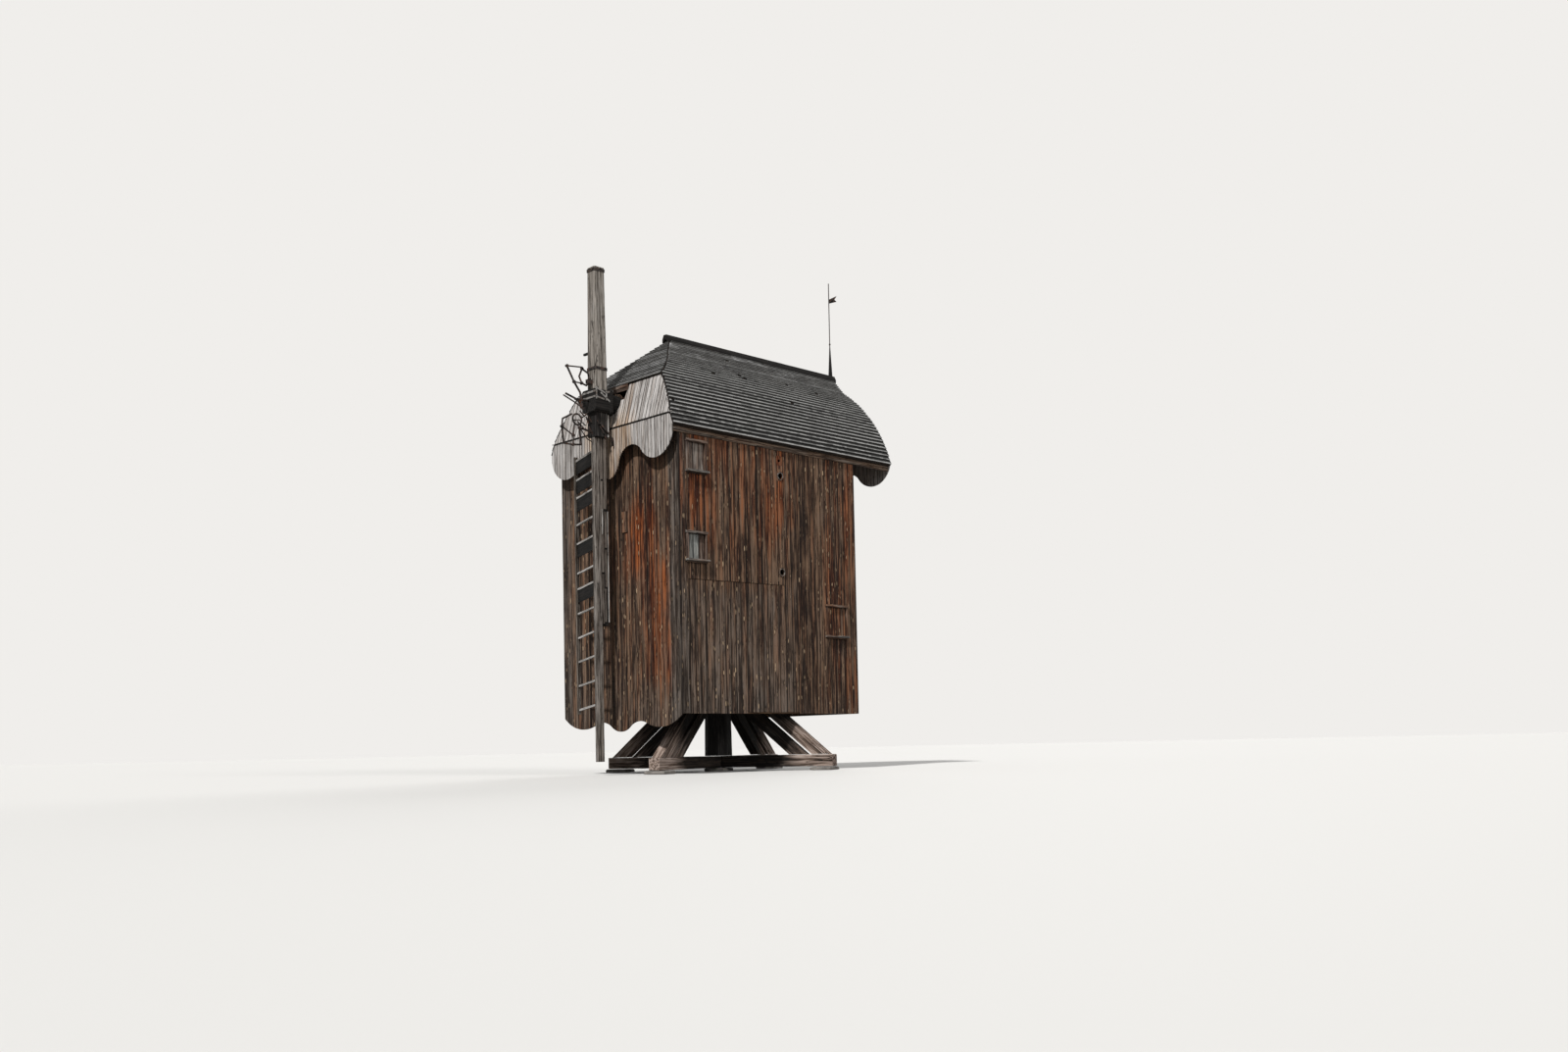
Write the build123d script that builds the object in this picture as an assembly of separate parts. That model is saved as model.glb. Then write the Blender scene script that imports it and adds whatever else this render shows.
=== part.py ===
from build123d import *
import math
import os

# A wooden post mill: a boarded house that turns as a whole on one great post.
# Millimetres, +Z up. The origin is on the post's axis at ground level.
# The front, with the sails, faces -Y. The long right side faces +X.

# Driving dimensions of the trestle
trestle_turn = 20.0
pad_size = 620.0
pad_height = 100.0
pad_chamfer = 25.0
beam_width = 330.0
beam_height = 330.0
beam_reach = 3550.0
post_flats = 720.0
post_head_flats = 620.0
post_top_z = 4500.0
pintle_radius = 110.0
pintle_height = 220.0
pintle_chamfer = 18.0
brace_width = 290.0
brace_depth = 320.0
brace_slot = 110.0
brace_angle = 40.0
brace_foot_reach = 3420.0
saddle_width = 1180.0
saddle_height = 200.0

# Driving dimensions of the mill house
house_width = 5000.0
front_reach = 3440.0
rear_reach = 3150.0
wall_bottom_z = 1540.0
board = 40.0
frame_post = 200.0
rail_height = 160.0
rail_width = 120.0
crown_width = 520.0
crown_height = 600.0
girt_height = 350.0
sheer_width = 260.0
sheer_height = 250.0
sheer_spacing = 1300.0
floor_thickness = 50.0
upper_floor_z = 7350.0
floor_play = 60.0

# Driving dimensions of the front wall's wavy hem
hem_lobe_inset = 780.0
hem_lobe_drop = 315.0
hem_cusp_inset = 1380.0
hem_cusp_drop = 220.0
hem_arch_inset = 1730.0
hem_arch_drop = 150.0
hem_shoulder_x = 420.0
hem_shoulder_drop = 250.0
hem_middle_drop = 410.0

# Driving dimensions of the roof
eave_overhang = 100.0
eave_z = 8850.0
roof_height = 3080.0
knee_x = 800.0
knee_drop = 655.0
roof_bulge_inset = 610.0
roof_bulge_rise = 1400.0
roof_thickness = 80.0
roof_eave_edge = 30.0
front_overhang = 220.0
rear_overhang = 1500.0
prow_reach = 380.0
tier_rise = 280.0
hip_run = 1805.0
hip_drop = 1550.0
hip_lean = 320.0
hip_overhang = 90.0
ridge_cap_width = 240.0
ridge_cap_height = 130.0
ridge_cap_overhang = 170.0
ridge_cap_end = 40.0
ridge_cap_side = 104.0
ridge_cap_top = 120.0
skirt_board = 28.0
slot_foot_half = 120.0
slot_foot_rise = 120.0
skirt_inset = 12.0
skirt_lobe_inset = 610.0
skirt_lobe_drop = 770.0
skirt_cusp_inset = 1200.0
skirt_cusp_drop = 430.0
skirt_arch_inset = 1630.0
skirt_arch_drop = 280.0
skirt_tongue_x = 390.0
skirt_tongue_drop = 630.0
skirt_tip_drop = 1050.0
skirt_tip_curve = 90.0
skirt_edge_drop = 180.0
rear_lobe_rise = 230.0
rear_tip_rise = 500.0
fascia_height = 190.0
fascia_thickness = 45.0
fascia_end_gap = 20.0
fascia_top_drop = 15.0

# Driving dimensions of the finial
finial_width = 130.0
finial_height = 1000.0
finial_inset = 90.0
finial_taper = 2.7
rod_radius = 14.0
rod_length = 1900.0
pennon_drop = 560.0
pennon_length = 330.0
pennon_height = 180.0
pennon_hoist = 126.0
pennon_notch = 90.0
pennon_thickness = 6.0

# Driving dimensions of the hatches, the door and the round holes in the boards
hatch_frame = 70.0
hatch_frame_depth = 70.0
sill_depth = 140.0
sill_overrun = 28.0
shutter_thickness = 30.0
leaf_play = 4.0
upper_hatch_inset = 605.0
upper_hatch_z = 8110.0
upper_hatch_width = 560.0
upper_hatch_height = 720.0
middle_hatch_inset = 570.0
middle_hatch_z = 5790.0
middle_hatch_width = 560.0
middle_hatch_height = 660.0
lower_hatch_inset = 860.0
lower_hatch_z = 4120.0
lower_hatch_width = 760.0
lower_hatch_height = 800.0
small_hole_y = 160.0
small_hole_z = 8390.0
small_hole_radius = 45.0
ringed_hole_y = 180.0
ringed_hole_heights = (7970.0, 5350.0)
ringed_hole_radius = 80.0
hole_ring_width = 30.0
hole_ring_depth = 30.0
door_width = 950.0
door_height = 1550.0
door_frame = 90.0
door_frame_depth = 45.0

# Driving dimensions of the windshaft and its bearings
shaft_rise = 940.0
shaft_radius = 260.0
shaft_tail_reach = 2300.0
shaft_tail_length = 150.0
journal_radius = 200.0
bearing_width = 180.0
bearing_half_length = 450.0
bearing_seat_height = 300.0
shaft_beam_height = 260.0
bearing_play = 0.3
shaft_way = 60.0

# Driving dimensions of the poll end, the upper arm and the stub of the cross stock
poll_size = 600.0
poll_gap = 340.0
poll_length = 550.0
poll_chamfer = 50.0
poll_flange = 40.0
poll_flange_width = 90.0
stock_gap = 600.0
stock_root = 390.0
stock_root_drop = 640.0
stock_tip = 335.0
arm_reach = 3580.0
stock_rounding = 40.0
stub_length = 460.0
stub_section = 270.0
stub_rise = 60.0
peg_section = 60.0
peg_length = 560.0
peg_rise = 1380.0

# Driving dimensions of the lower arm and its sail frame
whip_width = 150.0
whip_depth = 190.0
whip_set_back = 15.0
whip_reach = 9440.0
backing_depth = 140.0
backing_gap = 60.0
backing_reach = 5890.0
spacer_height = 240.0
spacer_drops = (1120.0, 2030.0, 3430.0, 5620.0)
bar_section = 55.0
bar_reach = 950.0
bar_inset = 60.0
bar_set_back = 160.0
bar_droop = 110.0
boarded_bar_drops = (1290.0, 1810.0, 2290.0, 3520.0, 4730.0)
bare_bar_drops = (3010.0, 4310.0, 5390.0, 6030.0, 6670.0, 7310.0, 7950.0)
sail_board = 22.0
sail_board_height = 330.0
stile_overrun = 120.0

# Driving dimensions of the irons on the arms
iron_radius = 24.0
strut_radius = 27.0
link_radius = 19.0
eye_radius = 38.0
eye_length = 64.0
hoop_width = 75.0
hoop_thickness = 10.0
hoop_corner = 22.5
hoop_rises = (870.0, 3500.0)
crank_block = 110.0
link_ring_radius = 140.0
side_rod_offset = 27.0
side_pin_radius = 11.0

# Clearances, and how far a cutting block reaches past what it cuts
seat_play = 0.3
pintle_play = 1.0
turn_play = 8.0
cut_margin = 600.0

half = house_width / 2
inner_half = half - board
front_y = -front_reach
rear_y = rear_reach
eave_half = half + eave_overhang
apex_z = eave_z + roof_height
knee_z = apex_z - knee_drop
roof_bulge_x = half - roof_bulge_inset
roof_bulge_z = eave_z + roof_bulge_rise
verge_front_y = front_y - front_overhang
verge_rear_y = rear_y + rear_overhang
prow_y = verge_rear_y + prow_reach
tier_z = eave_z + tier_rise
hip_foot_y = verge_front_y + hip_lean
hip_foot_z = apex_z - hip_drop
ridge_front_y = hip_foot_y + hip_run
poll_rear_y = front_y - poll_gap
poll_front_y = poll_rear_y - poll_length
stock_y = front_y - stock_gap
shaft_z = eave_z + shaft_rise
stock_top_z = shaft_z + arm_reach
whip_end_z = shaft_z - whip_reach
backing_end_z = shaft_z - backing_reach
peg_z = shaft_z + peg_rise
hatches = (
    (front_y + upper_hatch_inset, upper_hatch_z, upper_hatch_width, upper_hatch_height),
    (front_y + middle_hatch_inset, middle_hatch_z, middle_hatch_width, middle_hatch_height),
    (rear_y - lower_hatch_inset, lower_hatch_z, lower_hatch_width, lower_hatch_height),
)
inner_front_y = front_y + board
inner_rear_y = rear_y - board
beam_top_z = pad_height + beam_height
hip_slope = math.atan2(apex_z - hip_foot_z, ridge_front_y - hip_foot_y)
crown_z = post_top_z + seat_play
girt_top_z = crown_z + crown_height
middle_floor_z = girt_top_z + floor_thickness


def box(x0, x1, y0, y1, z0, z1):
    """A box between two corners."""
    middle = ((x0 + x1) / 2, (y0 + y1) / 2, (z0 + z1) / 2)
    return Pos(*middle) * Box(x1 - x0, y1 - y0, z1 - z0)


def plate_xz(face, y0, y1):
    """A face drawn in x and z, made a plate from y0 to y1."""
    solid = extrude(face, y1 - y0, dir=(0, 1, 0))
    return Pos(0, y0, 0) * solid


def outline_xz(points):
    return Plane.XZ * make_face(Polyline(*points, close=True))


def band_yz(points, x0, x1):
    """A closed outline in y and z, made a solid from x0 to x1."""
    face = Plane.YZ * make_face(Polyline(*points, close=True))
    return Pos(x0, 0, 0) * extrude(face, x1 - x0, dir=(1, 0, 0))


def in_arm(solid, index):
    """Turns a piece drawn along +X into one of the trestle's four arms."""
    return Rot(0, 0, trestle_turn + 90.0 * index) * solid


def mirrored(solid):
    return mirror(solid, Plane.YZ)


def write(name, *solids):
    flat = []
    for item in solids:
        flat.extend(item.solids())
    shape = flat[0] if len(flat) == 1 else Compound(flat)
    export_step(shape, "parts/" + name + ".step")


# Trestle

def foot_pads():
    """Low stones under the ends of the ground beams and under their crossing."""
    stone = box(-pad_size / 2, pad_size / 2, -pad_size / 2, pad_size / 2, 0, pad_height)
    stone = chamfer(stone.edges().group_by(Axis.Z)[-1], pad_chamfer)
    outer = Pos(beam_reach - pad_size / 2, 0, 0) * stone
    return [in_arm(stone, 0), *[in_arm(outer, index) for index in range(4)]]


def ground_beams():
    """Two crossed beams, halved into each other at the middle."""
    middle_z = pad_height + beam_height / 2
    across = box(-beam_reach, beam_reach, -beam_width / 2, beam_width / 2, pad_height, beam_top_z)
    lower = across - box(-beam_width / 2, beam_width / 2, -beam_width, beam_width, middle_z, beam_top_z)
    upper = across - box(-beam_width / 2, beam_width / 2, -beam_width, beam_width, pad_height, middle_z)
    return in_arm(lower, 0), in_arm(upper, 1)


post_narrowing = (post_flats - post_head_flats) / (post_top_z - beam_top_z)


def post_width(z):
    """Across the flats of the tapering post at that height."""
    return post_flats - (z - beam_top_z) * post_narrowing


def octagon(flats, z):
    """An eight-sided section with that size across its flats."""
    return Pos(0, 0, z) * RegularPolygon(flats / 2, 8, major_radius=False, rotation=22.5)


def post_core():
    """The space that the post takes above the ground beams."""
    return loft([octagon(post_flats, beam_top_z), octagon(post_head_flats, post_top_z)])


def main_post():
    """An eight-sided post that tapers upwards, with a pintle on its head."""
    pintle = Pos(0, 0, post_top_z + pintle_height / 2) * Cylinder(pintle_radius, pintle_height)
    pintle = chamfer(pintle.edges().group_by(Axis.Z)[-1], pintle_chamfer)
    return in_arm(post_core() + pintle, 0)


def brace(top_offset):
    """A slanting bar from a ground beam up to the post, its top edge lowered by the offset."""
    slope = math.radians(brace_angle)
    drop = top_offset / math.cos(slope)
    depth = brace_depth / math.cos(slope)
    centre_z = beam_top_z + brace_foot_reach * math.tan(slope) - drop
    reach = (centre_z - beam_top_z) / math.tan(slope)
    inner = (centre_z - depth - beam_top_z) / math.tan(slope)
    points = [(0, centre_z), (reach, beam_top_z), (inner, beam_top_z), (0, centre_z - depth)]
    face = Plane.XZ * make_face(Polyline(*points, close=True))
    bar = Pos(0, -brace_width / 2, 0) * extrude(face, brace_width, dir=(0, 1, 0))
    return (bar - post_core()) & box(0, beam_reach, -brace_width, brace_width, beam_top_z, saddle_z)


def brace_head_z():
    """The height at which the top edges of the upper braces meet the tapering post."""
    slope = math.tan(math.radians(brace_angle))
    return beam_top_z + (brace_foot_reach - post_flats / 2) * slope / (1 - slope * post_narrowing / 2)


saddle_z = brace_head_z()
sheer_z = saddle_z + saddle_height + turn_play
lower_floor_z = sheer_z + sheer_height + floor_thickness


def saddle():
    """A square timber collar round the post, on the heads of the upper braces."""
    ring = box(-saddle_width / 2, saddle_width / 2, -saddle_width / 2, saddle_width / 2,
               saddle_z, saddle_z + saddle_height)
    return in_arm(ring - post_core(), 0)


# Walls

def hem_edges():
    """The wavy lower edge of the front boards, from right to left."""
    corner = (half, wall_bottom_z)
    lobe_low = (half - hem_lobe_inset, wall_bottom_z - hem_lobe_drop)
    cusp = (half - hem_cusp_inset, wall_bottom_z - hem_cusp_drop)
    arch_high = (half - hem_arch_inset, wall_bottom_z - hem_arch_drop)
    shoulder = (hem_shoulder_x, wall_bottom_z - hem_shoulder_drop)
    middle = (0.0, wall_bottom_z - hem_middle_drop)
    right = [
        ThreePointArc(corner, lobe_low, cusp),
        ThreePointArc(cusp, arch_high, shoulder),
    ]
    left = [
        ThreePointArc((-shoulder[0], shoulder[1]), (-arch_high[0], arch_high[1]), (-cusp[0], cusp[1])),
        ThreePointArc((-cusp[0], cusp[1]), (-lobe_low[0], lobe_low[1]), (-corner[0], corner[1])),
    ]
    centre = ThreePointArc(shoulder, middle, (-shoulder[0], shoulder[1]))
    return [*right, centre, *left]


def roof_prism(inset, bottom_z):
    """Everything under the roof surface, moved inwards by the inset, down to bottom_z."""
    ridge = (0.0, apex_z)
    knee = (knee_x, knee_z)
    bulge = (roof_bulge_x, roof_bulge_z)
    eave = (eave_half, eave_z)
    face = make_face(Curve() + [
        Line(ridge, knee),
        ThreePointArc(knee, bulge, eave),
        Line(eave, (eave_half, bottom_z)),
        Line((eave_half, bottom_z), (-eave_half, bottom_z)),
        Line((-eave_half, bottom_z), (-eave_half, eave_z)),
        ThreePointArc((-eave_half, eave_z), (-roof_bulge_x, roof_bulge_z), (-knee_x, knee_z)),
        Line((-knee_x, knee_z), ridge),
    ])
    if inset > 0:
        face = offset(face, -inset, kind=Kind.INTERSECTION)
    return plate_xz(Plane.XZ * face, verge_front_y - cut_margin, prow_y + cut_margin)


under_roof = roof_prism(roof_thickness, wall_bottom_z - cut_margin)
under_surface = roof_prism(0.0, wall_bottom_z - cut_margin)


def gable_face(lower_edges):
    """A gable wall's face from its lower edge to above the roof; the roof trims it."""
    top = apex_z + cut_margin
    right = (half, wall_bottom_z)
    left = (-half, wall_bottom_z)
    rest = [
        Line(left, (-half, top)),
        Line((-half, top), (half, top)),
        Line((half, top), right),
    ]
    return Plane.XZ * make_face(Curve() + [*lower_edges, *rest])


def front_leaning_side():
    """All that lies behind the front verge, its leaning upper tier and the hip, seen from the side."""
    far = prow_y + cut_margin
    return [
        (far, 0.0),
        (verge_front_y, 0.0),
        (verge_front_y, tier_z),
        (hip_foot_y, hip_foot_z),
        (ridge_front_y, apex_z),
        (ridge_front_y, apex_z + cut_margin),
        (far, apex_z + cut_margin),
    ]


def hip_band(depth0, depth1, overhang):
    """The slab of the front hip between two depths below its surface, seen from the side."""
    ux, uz = math.cos(hip_slope), math.sin(hip_slope)
    nx, nz = -uz, ux
    foot = (hip_foot_y - overhang * ux, hip_foot_z - overhang * uz)
    head = (ridge_front_y, apex_z)
    return [
        (foot[0] - nx * depth0, foot[1] - nz * depth0),
        (head[0] - nx * depth0, head[1] - nz * depth0),
        (head[0] - nx * depth1, head[1] - nz * depth1),
        (foot[0] - nx * depth1, foot[1] - nz * depth1),
    ]


def under_hip():
    """All that lies under the slab of the front hip, behind the face of the front boards."""
    foot, head = hip_band(roof_thickness, roof_thickness, hip_overhang)[:2]
    far = prow_y + cut_margin
    points = [foot, head, (ridge_front_y + cut_margin, apex_z), (far, apex_z), (far, 0.0),
              (front_y - board, 0.0), (front_y - board, foot[1])]
    return band_yz(points, -house_width, house_width)


def shaft_opening():
    """Room for the windshaft through the front boards."""
    return Pos(0, front_y, shaft_z) * Rot(90, 0, 0) * Cylinder(shaft_radius + shaft_way, 4 * frame_post)


def front_wall():
    wall = plate_xz(gable_face(hem_edges()), front_y, inner_front_y)
    wall = wall & under_roof
    wall = wall & under_hip()
    wall = wall & band_yz(front_leaning_side(), -house_width, house_width)
    return wall - shaft_opening()


def rear_wall():
    bottom = Line((half, wall_bottom_z), (-half, wall_bottom_z))
    wall = plate_xz(gable_face([bottom]), inner_rear_y, rear_y)
    wall = wall & under_roof
    hole = box(-door_width / 2, door_width / 2, inner_rear_y - board, rear_y + board,
               lower_floor_z, lower_floor_z + door_height)
    return wall - hole


def side_wall(side):
    """A long wall; the right one has the hatches and the round holes cut through it."""
    wall = box(inner_half, half, inner_front_y, inner_rear_y, wall_bottom_z, eave_z + cut_margin)
    wall = wall & under_roof
    for y, z, width, height in hatches:
        wall -= box(inner_half - board, half + board, y - width / 2, y + width / 2,
                    z - height / 2, z + height / 2)
    if side > 0:
        across = Rot(0, 90, 0)
        wall -= Pos(half, small_hole_y, small_hole_z) * across * Cylinder(small_hole_radius, 4 * board)
        for z in ringed_hole_heights:
            wall -= Pos(half, ringed_hole_y, z) * across * Cylinder(ringed_hole_radius, 4 * board)
        return wall
    return mirrored(wall)


def side_panel(x0, x1, y, z, width, height):
    """A block on the right wall, round the middle of a hatch."""
    return box(x0, x1, y - width / 2, y + width / 2, z - height / 2, z + height / 2)


def hatch_frame_solid(y, z, width, height):
    """Four boards round a hatch, on the face of the wall, with a sill that stands out."""
    outer = side_panel(half, half + hatch_frame_depth, y, z,
                       width + 2 * hatch_frame, height + 2 * hatch_frame)
    hole = side_panel(inner_half, half + sill_depth, y, z, width, height)
    sill_half = width / 2 + hatch_frame + sill_overrun
    foot = z - height / 2
    sill = box(half, half + sill_depth, y - sill_half, y + sill_half, foot - hatch_frame, foot)
    return outer - hole + sill


def shutter_solid(y, z, width, height):
    """A boarded leaf that stands on the sill, a little smaller than its hatch."""
    leaf = side_panel(half - shutter_thickness, half, y, z, width - 2 * leaf_play, height)
    return leaf - side_panel(inner_half, half + board, y, z + height - leaf_play, width, height)


def hole_rings():
    """Flat wooden rings round the two larger holes."""
    ring = Cylinder(ringed_hole_radius + hole_ring_width, hole_ring_depth)
    ring -= Cylinder(ringed_hole_radius, 2 * hole_ring_depth)
    place = Pos(half + hole_ring_depth / 2, ringed_hole_y, 0) * Rot(0, 90, 0)
    return [Pos(0, 0, z) * place * ring for z in ringed_hole_heights]


def rear_door():
    """A boarded leaf that stands on the threshold."""
    reach = door_width / 2 - leaf_play
    return box(-reach, reach, rear_y - board, rear_y, lower_floor_z, lower_floor_z + door_height - leaf_play)


def door_surround():
    """Two jambs, a head and a threshold on the face of the rear boards."""
    reach = door_width / 2 + door_frame
    outer = box(-reach, reach, rear_y, rear_y + door_frame_depth,
                lower_floor_z - door_frame, lower_floor_z + door_height + door_frame)
    hole = box(-door_width / 2, door_width / 2, rear_y - board, rear_y + door_frame,
               lower_floor_z, lower_floor_z + door_height)
    return outer - hole


# Frame inside the boards

def corner_posts():
    posts = []
    for y0, y1 in ((inner_front_y, inner_front_y + frame_post), (inner_rear_y - frame_post, inner_rear_y)):
        post = box(inner_half - frame_post, inner_half, y0, y1, wall_bottom_z, eave_z)
        posts.append(post & under_roof)
    return [*posts, *[mirrored(post) for post in posts]]


def side_rails(z0, z1, width):
    """One rail along each side wall, between the corner posts."""
    rail = box(inner_half - width, inner_half, inner_front_y + frame_post, inner_rear_y - frame_post, z0, z1)
    return [rail, mirrored(rail)]


def end_rails(z0, z1, width):
    """One rail across each end wall, between the corner posts."""
    reach = inner_half - frame_post
    front = box(-reach, reach, inner_front_y, inner_front_y + width, z0, z1)
    rear = box(-reach, reach, inner_rear_y - width, inner_rear_y, z0, z1)
    return [front, rear]


def crown_tree():
    """The beam that turns on the post and carries the house, with a socket for the pintle."""
    reach = inner_half - frame_post
    beam = box(-reach, reach, -crown_width / 2, crown_width / 2, crown_z, girt_top_z)
    socket = Pos(0, 0, crown_z + (pintle_height + turn_play) / 2) * Cylinder(
        pintle_radius + pintle_play, pintle_height + turn_play)
    return beam - socket


def sheers():
    """Two long beams under the lowest floor, either side of the post."""
    beams = []
    for side in (-1, 1):
        middle = side * sheer_spacing / 2
        beams.append(box(middle - sheer_width / 2, middle + sheer_width / 2, inner_front_y, inner_rear_y,
                         sheer_z, sheer_z + sheer_height))
    return beams


def floor_slab(top_z, hole_radius):
    """A boarded floor inside the walls, cut round the corner posts."""
    slab = box(-inner_half, inner_half, inner_front_y, inner_rear_y, top_z - floor_thickness, top_z)
    for post in corner_posts():
        slab -= post
    if hole_radius:
        slab -= Pos(0, 0, top_z) * Cylinder(hole_radius, 4 * floor_thickness)
    return slab


# Roof

def roof_slope():
    """The right slope: a curved shell, cut by the hip and the verges, with a prow at the rear ridge."""
    shell = under_surface - under_roof
    plan = Polyline(
        (0, verge_front_y - cut_margin),
        (eave_half + cut_margin, verge_front_y - cut_margin),
        (eave_half + cut_margin, verge_rear_y),
        (knee_x, verge_rear_y),
        (0, prow_y),
        close=True,
    )
    plan_block = Pos(0, 0, eave_z - cut_margin) * extrude(make_face(plan), roof_height + 2 * cut_margin)
    side_block = band_yz(front_leaning_side(), -house_width, house_width)
    above_eave = box(0, eave_half + cut_margin, 2 * verge_front_y, 2 * prow_y,
                     eave_z - roof_eave_edge, 2 * apex_z)
    return shell & plan_block & side_block & above_eave


def front_hip():
    band = band_yz(hip_band(0.0, roof_thickness, hip_overhang), -house_width, house_width)
    return band & under_roof


def ridge_cap():
    """A squared log along the ridge, hollowed to sit on both slopes."""
    slope = math.atan2(apex_z - knee_z, knee_x)
    side_x = ridge_cap_width / 2
    side_z = apex_z - side_x * math.tan(slope)
    top_x = ridge_cap_top / 2
    top_z = apex_z + ridge_cap_height
    points = [(0, apex_z), (side_x, side_z), (side_x, side_z + ridge_cap_side), (top_x, top_z),
              (-top_x, top_z), (-side_x, side_z + ridge_cap_side), (-side_x, side_z)]
    return plate_xz(outline_xz(points), ridge_front_y - ridge_cap_overhang, prow_y + ridge_cap_end)


def skirt_lower_edges(rise, tip_rise):
    """The lower edge of a gable skirt, from right to left: lobe, arch, tongue, arch, lobe."""
    edge = (eave_half - skirt_inset, eave_z - skirt_edge_drop + rise)
    lobe = (half - skirt_lobe_inset, eave_z - skirt_lobe_drop + rise)
    cusp = (half - skirt_cusp_inset, eave_z - skirt_cusp_drop + rise)
    arch = (half - skirt_arch_inset, eave_z - skirt_arch_drop + rise)
    tongue = (skirt_tongue_x, eave_z - skirt_tongue_drop + rise)
    tip = (0.0, eave_z - skirt_tip_drop + tip_rise)
    tongue_side = (skirt_tongue_x / 2, tip[1] + skirt_tip_curve)

    def left(point):
        return (-point[0], point[1])

    return edge, [
        ThreePointArc(edge, lobe, cusp),
        ThreePointArc(cusp, arch, tongue),
        ThreePointArc(tongue, tongue_side, tip),
        ThreePointArc(tip, left(tongue_side), left(tongue)),
        ThreePointArc(left(tongue), left(arch), left(cusp)),
        ThreePointArc(left(cusp), left(lobe), left(edge)),
    ]


def skirt_face(rise, tip_rise):
    edge, lower = skirt_lower_edges(rise, tip_rise)
    top = tier_z
    sides = [
        Line((-edge[0], edge[1]), (-edge[0], top)),
        Line((-edge[0], top), (edge[0], top)),
        Line((edge[0], top), edge),
    ]
    return Plane.XZ * make_face(Curve() + [*lower, *sides])


def front_skirt_lower():
    plate = plate_xz(skirt_face(0.0, 0.0), verge_front_y - skirt_board, verge_front_y)
    trim = roof_prism(skirt_inset, wall_bottom_z - cut_margin)
    upper = plate & trim
    lower = plate & box(-house_width, house_width, 2 * verge_front_y, 0, 0, eave_z)
    return upper + lower


def front_skirt_upper():
    """Boards that lean back from the tier line to the hip, open round the windshaft."""
    lean = math.atan2(hip_foot_y - verge_front_y, hip_foot_z - tier_z)
    step_y = -skirt_board * math.cos(lean)
    step_z = skirt_board * math.sin(lean)
    foot = (verge_front_y, tier_z)
    head = (hip_foot_y, hip_foot_z)
    points = [
        foot,
        head,
        (head[0] + step_y, head[1] + step_z),
        (foot[0] + step_y, foot[1] + step_z),
    ]
    slab = band_yz(points, -house_width, house_width) & roof_prism(skirt_inset, wall_bottom_z - cut_margin)
    slab -= band_yz(hip_band(-cut_margin, roof_thickness, 2 * hip_overhang), -house_width, house_width)
    slot_half = shaft_radius + shaft_way
    slot_top = hip_foot_z + cut_margin
    slot_foot = tier_z + slot_foot_rise
    slot = outline_xz([(-slot_half, slot_top), (-slot_half, shaft_z), (-slot_foot_half, slot_foot),
                       (slot_foot_half, slot_foot), (slot_half, shaft_z), (slot_half, slot_top)])
    slot = plate_xz(slot, verge_front_y - cut_margin, inner_front_y + frame_post)
    return slab - slot


def rear_skirt():
    face = skirt_face(rear_lobe_rise, rear_lobe_rise + rear_tip_rise)
    plate = plate_xz(face, verge_rear_y, verge_rear_y + skirt_board)
    return plate & roof_prism(skirt_inset, wall_bottom_z - cut_margin)


def rear_gable():
    """Boards that close the overhang of the roof above the rear skirt."""
    top = apex_z + cut_margin
    face = outline_xz([(-half, tier_z), (half, tier_z), (half, top), (-half, top)])
    return plate_xz(face, verge_rear_y - skirt_board, verge_rear_y) & under_roof


def fascia():
    """The long board under an eave."""
    y0 = verge_front_y + fascia_end_gap
    y1 = verge_rear_y - fascia_end_gap
    board_solid = box(half, half + fascia_thickness, y0, y1, eave_z - fascia_height, eave_z - fascia_top_drop)
    return board_solid - (under_surface - under_roof)


# Finial

finial_y = prow_y - finial_inset
finial_foot_z = apex_z + ridge_cap_height


def finial_spike():
    """A tapering eight-sided spike on the rear end of the ridge."""
    spike = extrude(RegularPolygon(finial_width / 2, 8), finial_height, taper=finial_taper)
    return Pos(0, finial_y, finial_foot_z) * spike


def finial_rod():
    """A thin rod with a small swallow-tailed pennon near its top."""
    foot = finial_foot_z + finial_height
    rod = Pos(0, finial_y, foot + rod_length / 2) * Cylinder(rod_radius, rod_length)
    z = foot + rod_length - pennon_drop
    hoist = pennon_hoist / 2
    fly = pennon_height / 2
    points = [(0, z + hoist), (pennon_length, z + fly), (pennon_length - pennon_notch, z),
              (pennon_length, z - fly), (0, z - hoist)]
    pennon = plate_xz(outline_xz(points), finial_y - pennon_thickness / 2, finial_y + pennon_thickness / 2)
    return rod + pennon


# Windshaft and sails

def shaft_round(radius, y0, y1):
    return Pos(0, (y0 + y1) / 2, shaft_z) * Rot(90, 0, 0) * Cylinder(radius, y1 - y0)


neck_y = inner_front_y + frame_post / 2
tail_y = shaft_tail_reach - shaft_tail_length
bearing_foot_z = shaft_z - journal_radius - bearing_seat_height


def windshaft():
    """A round shaft with two turned journals, where it lies in its bearings."""
    shaft = shaft_round(shaft_radius, poll_rear_y, shaft_tail_reach)
    for y in (neck_y, tail_y):
        ring = shaft_round(shaft_radius * 2, y - bearing_width / 2, y + bearing_width / 2)
        shaft -= ring - shaft_round(journal_radius, y - bearing_width, y + bearing_width)
    return shaft


def square_log(size, y0, y1, corner):
    """A squared log along the shaft's axis with chamfered edges."""
    log = box(-size / 2, size / 2, y0, y1, shaft_z - size / 2, shaft_z + size / 2)
    return chamfer(log.edges().filter_by(Axis.Y), corner)


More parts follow.
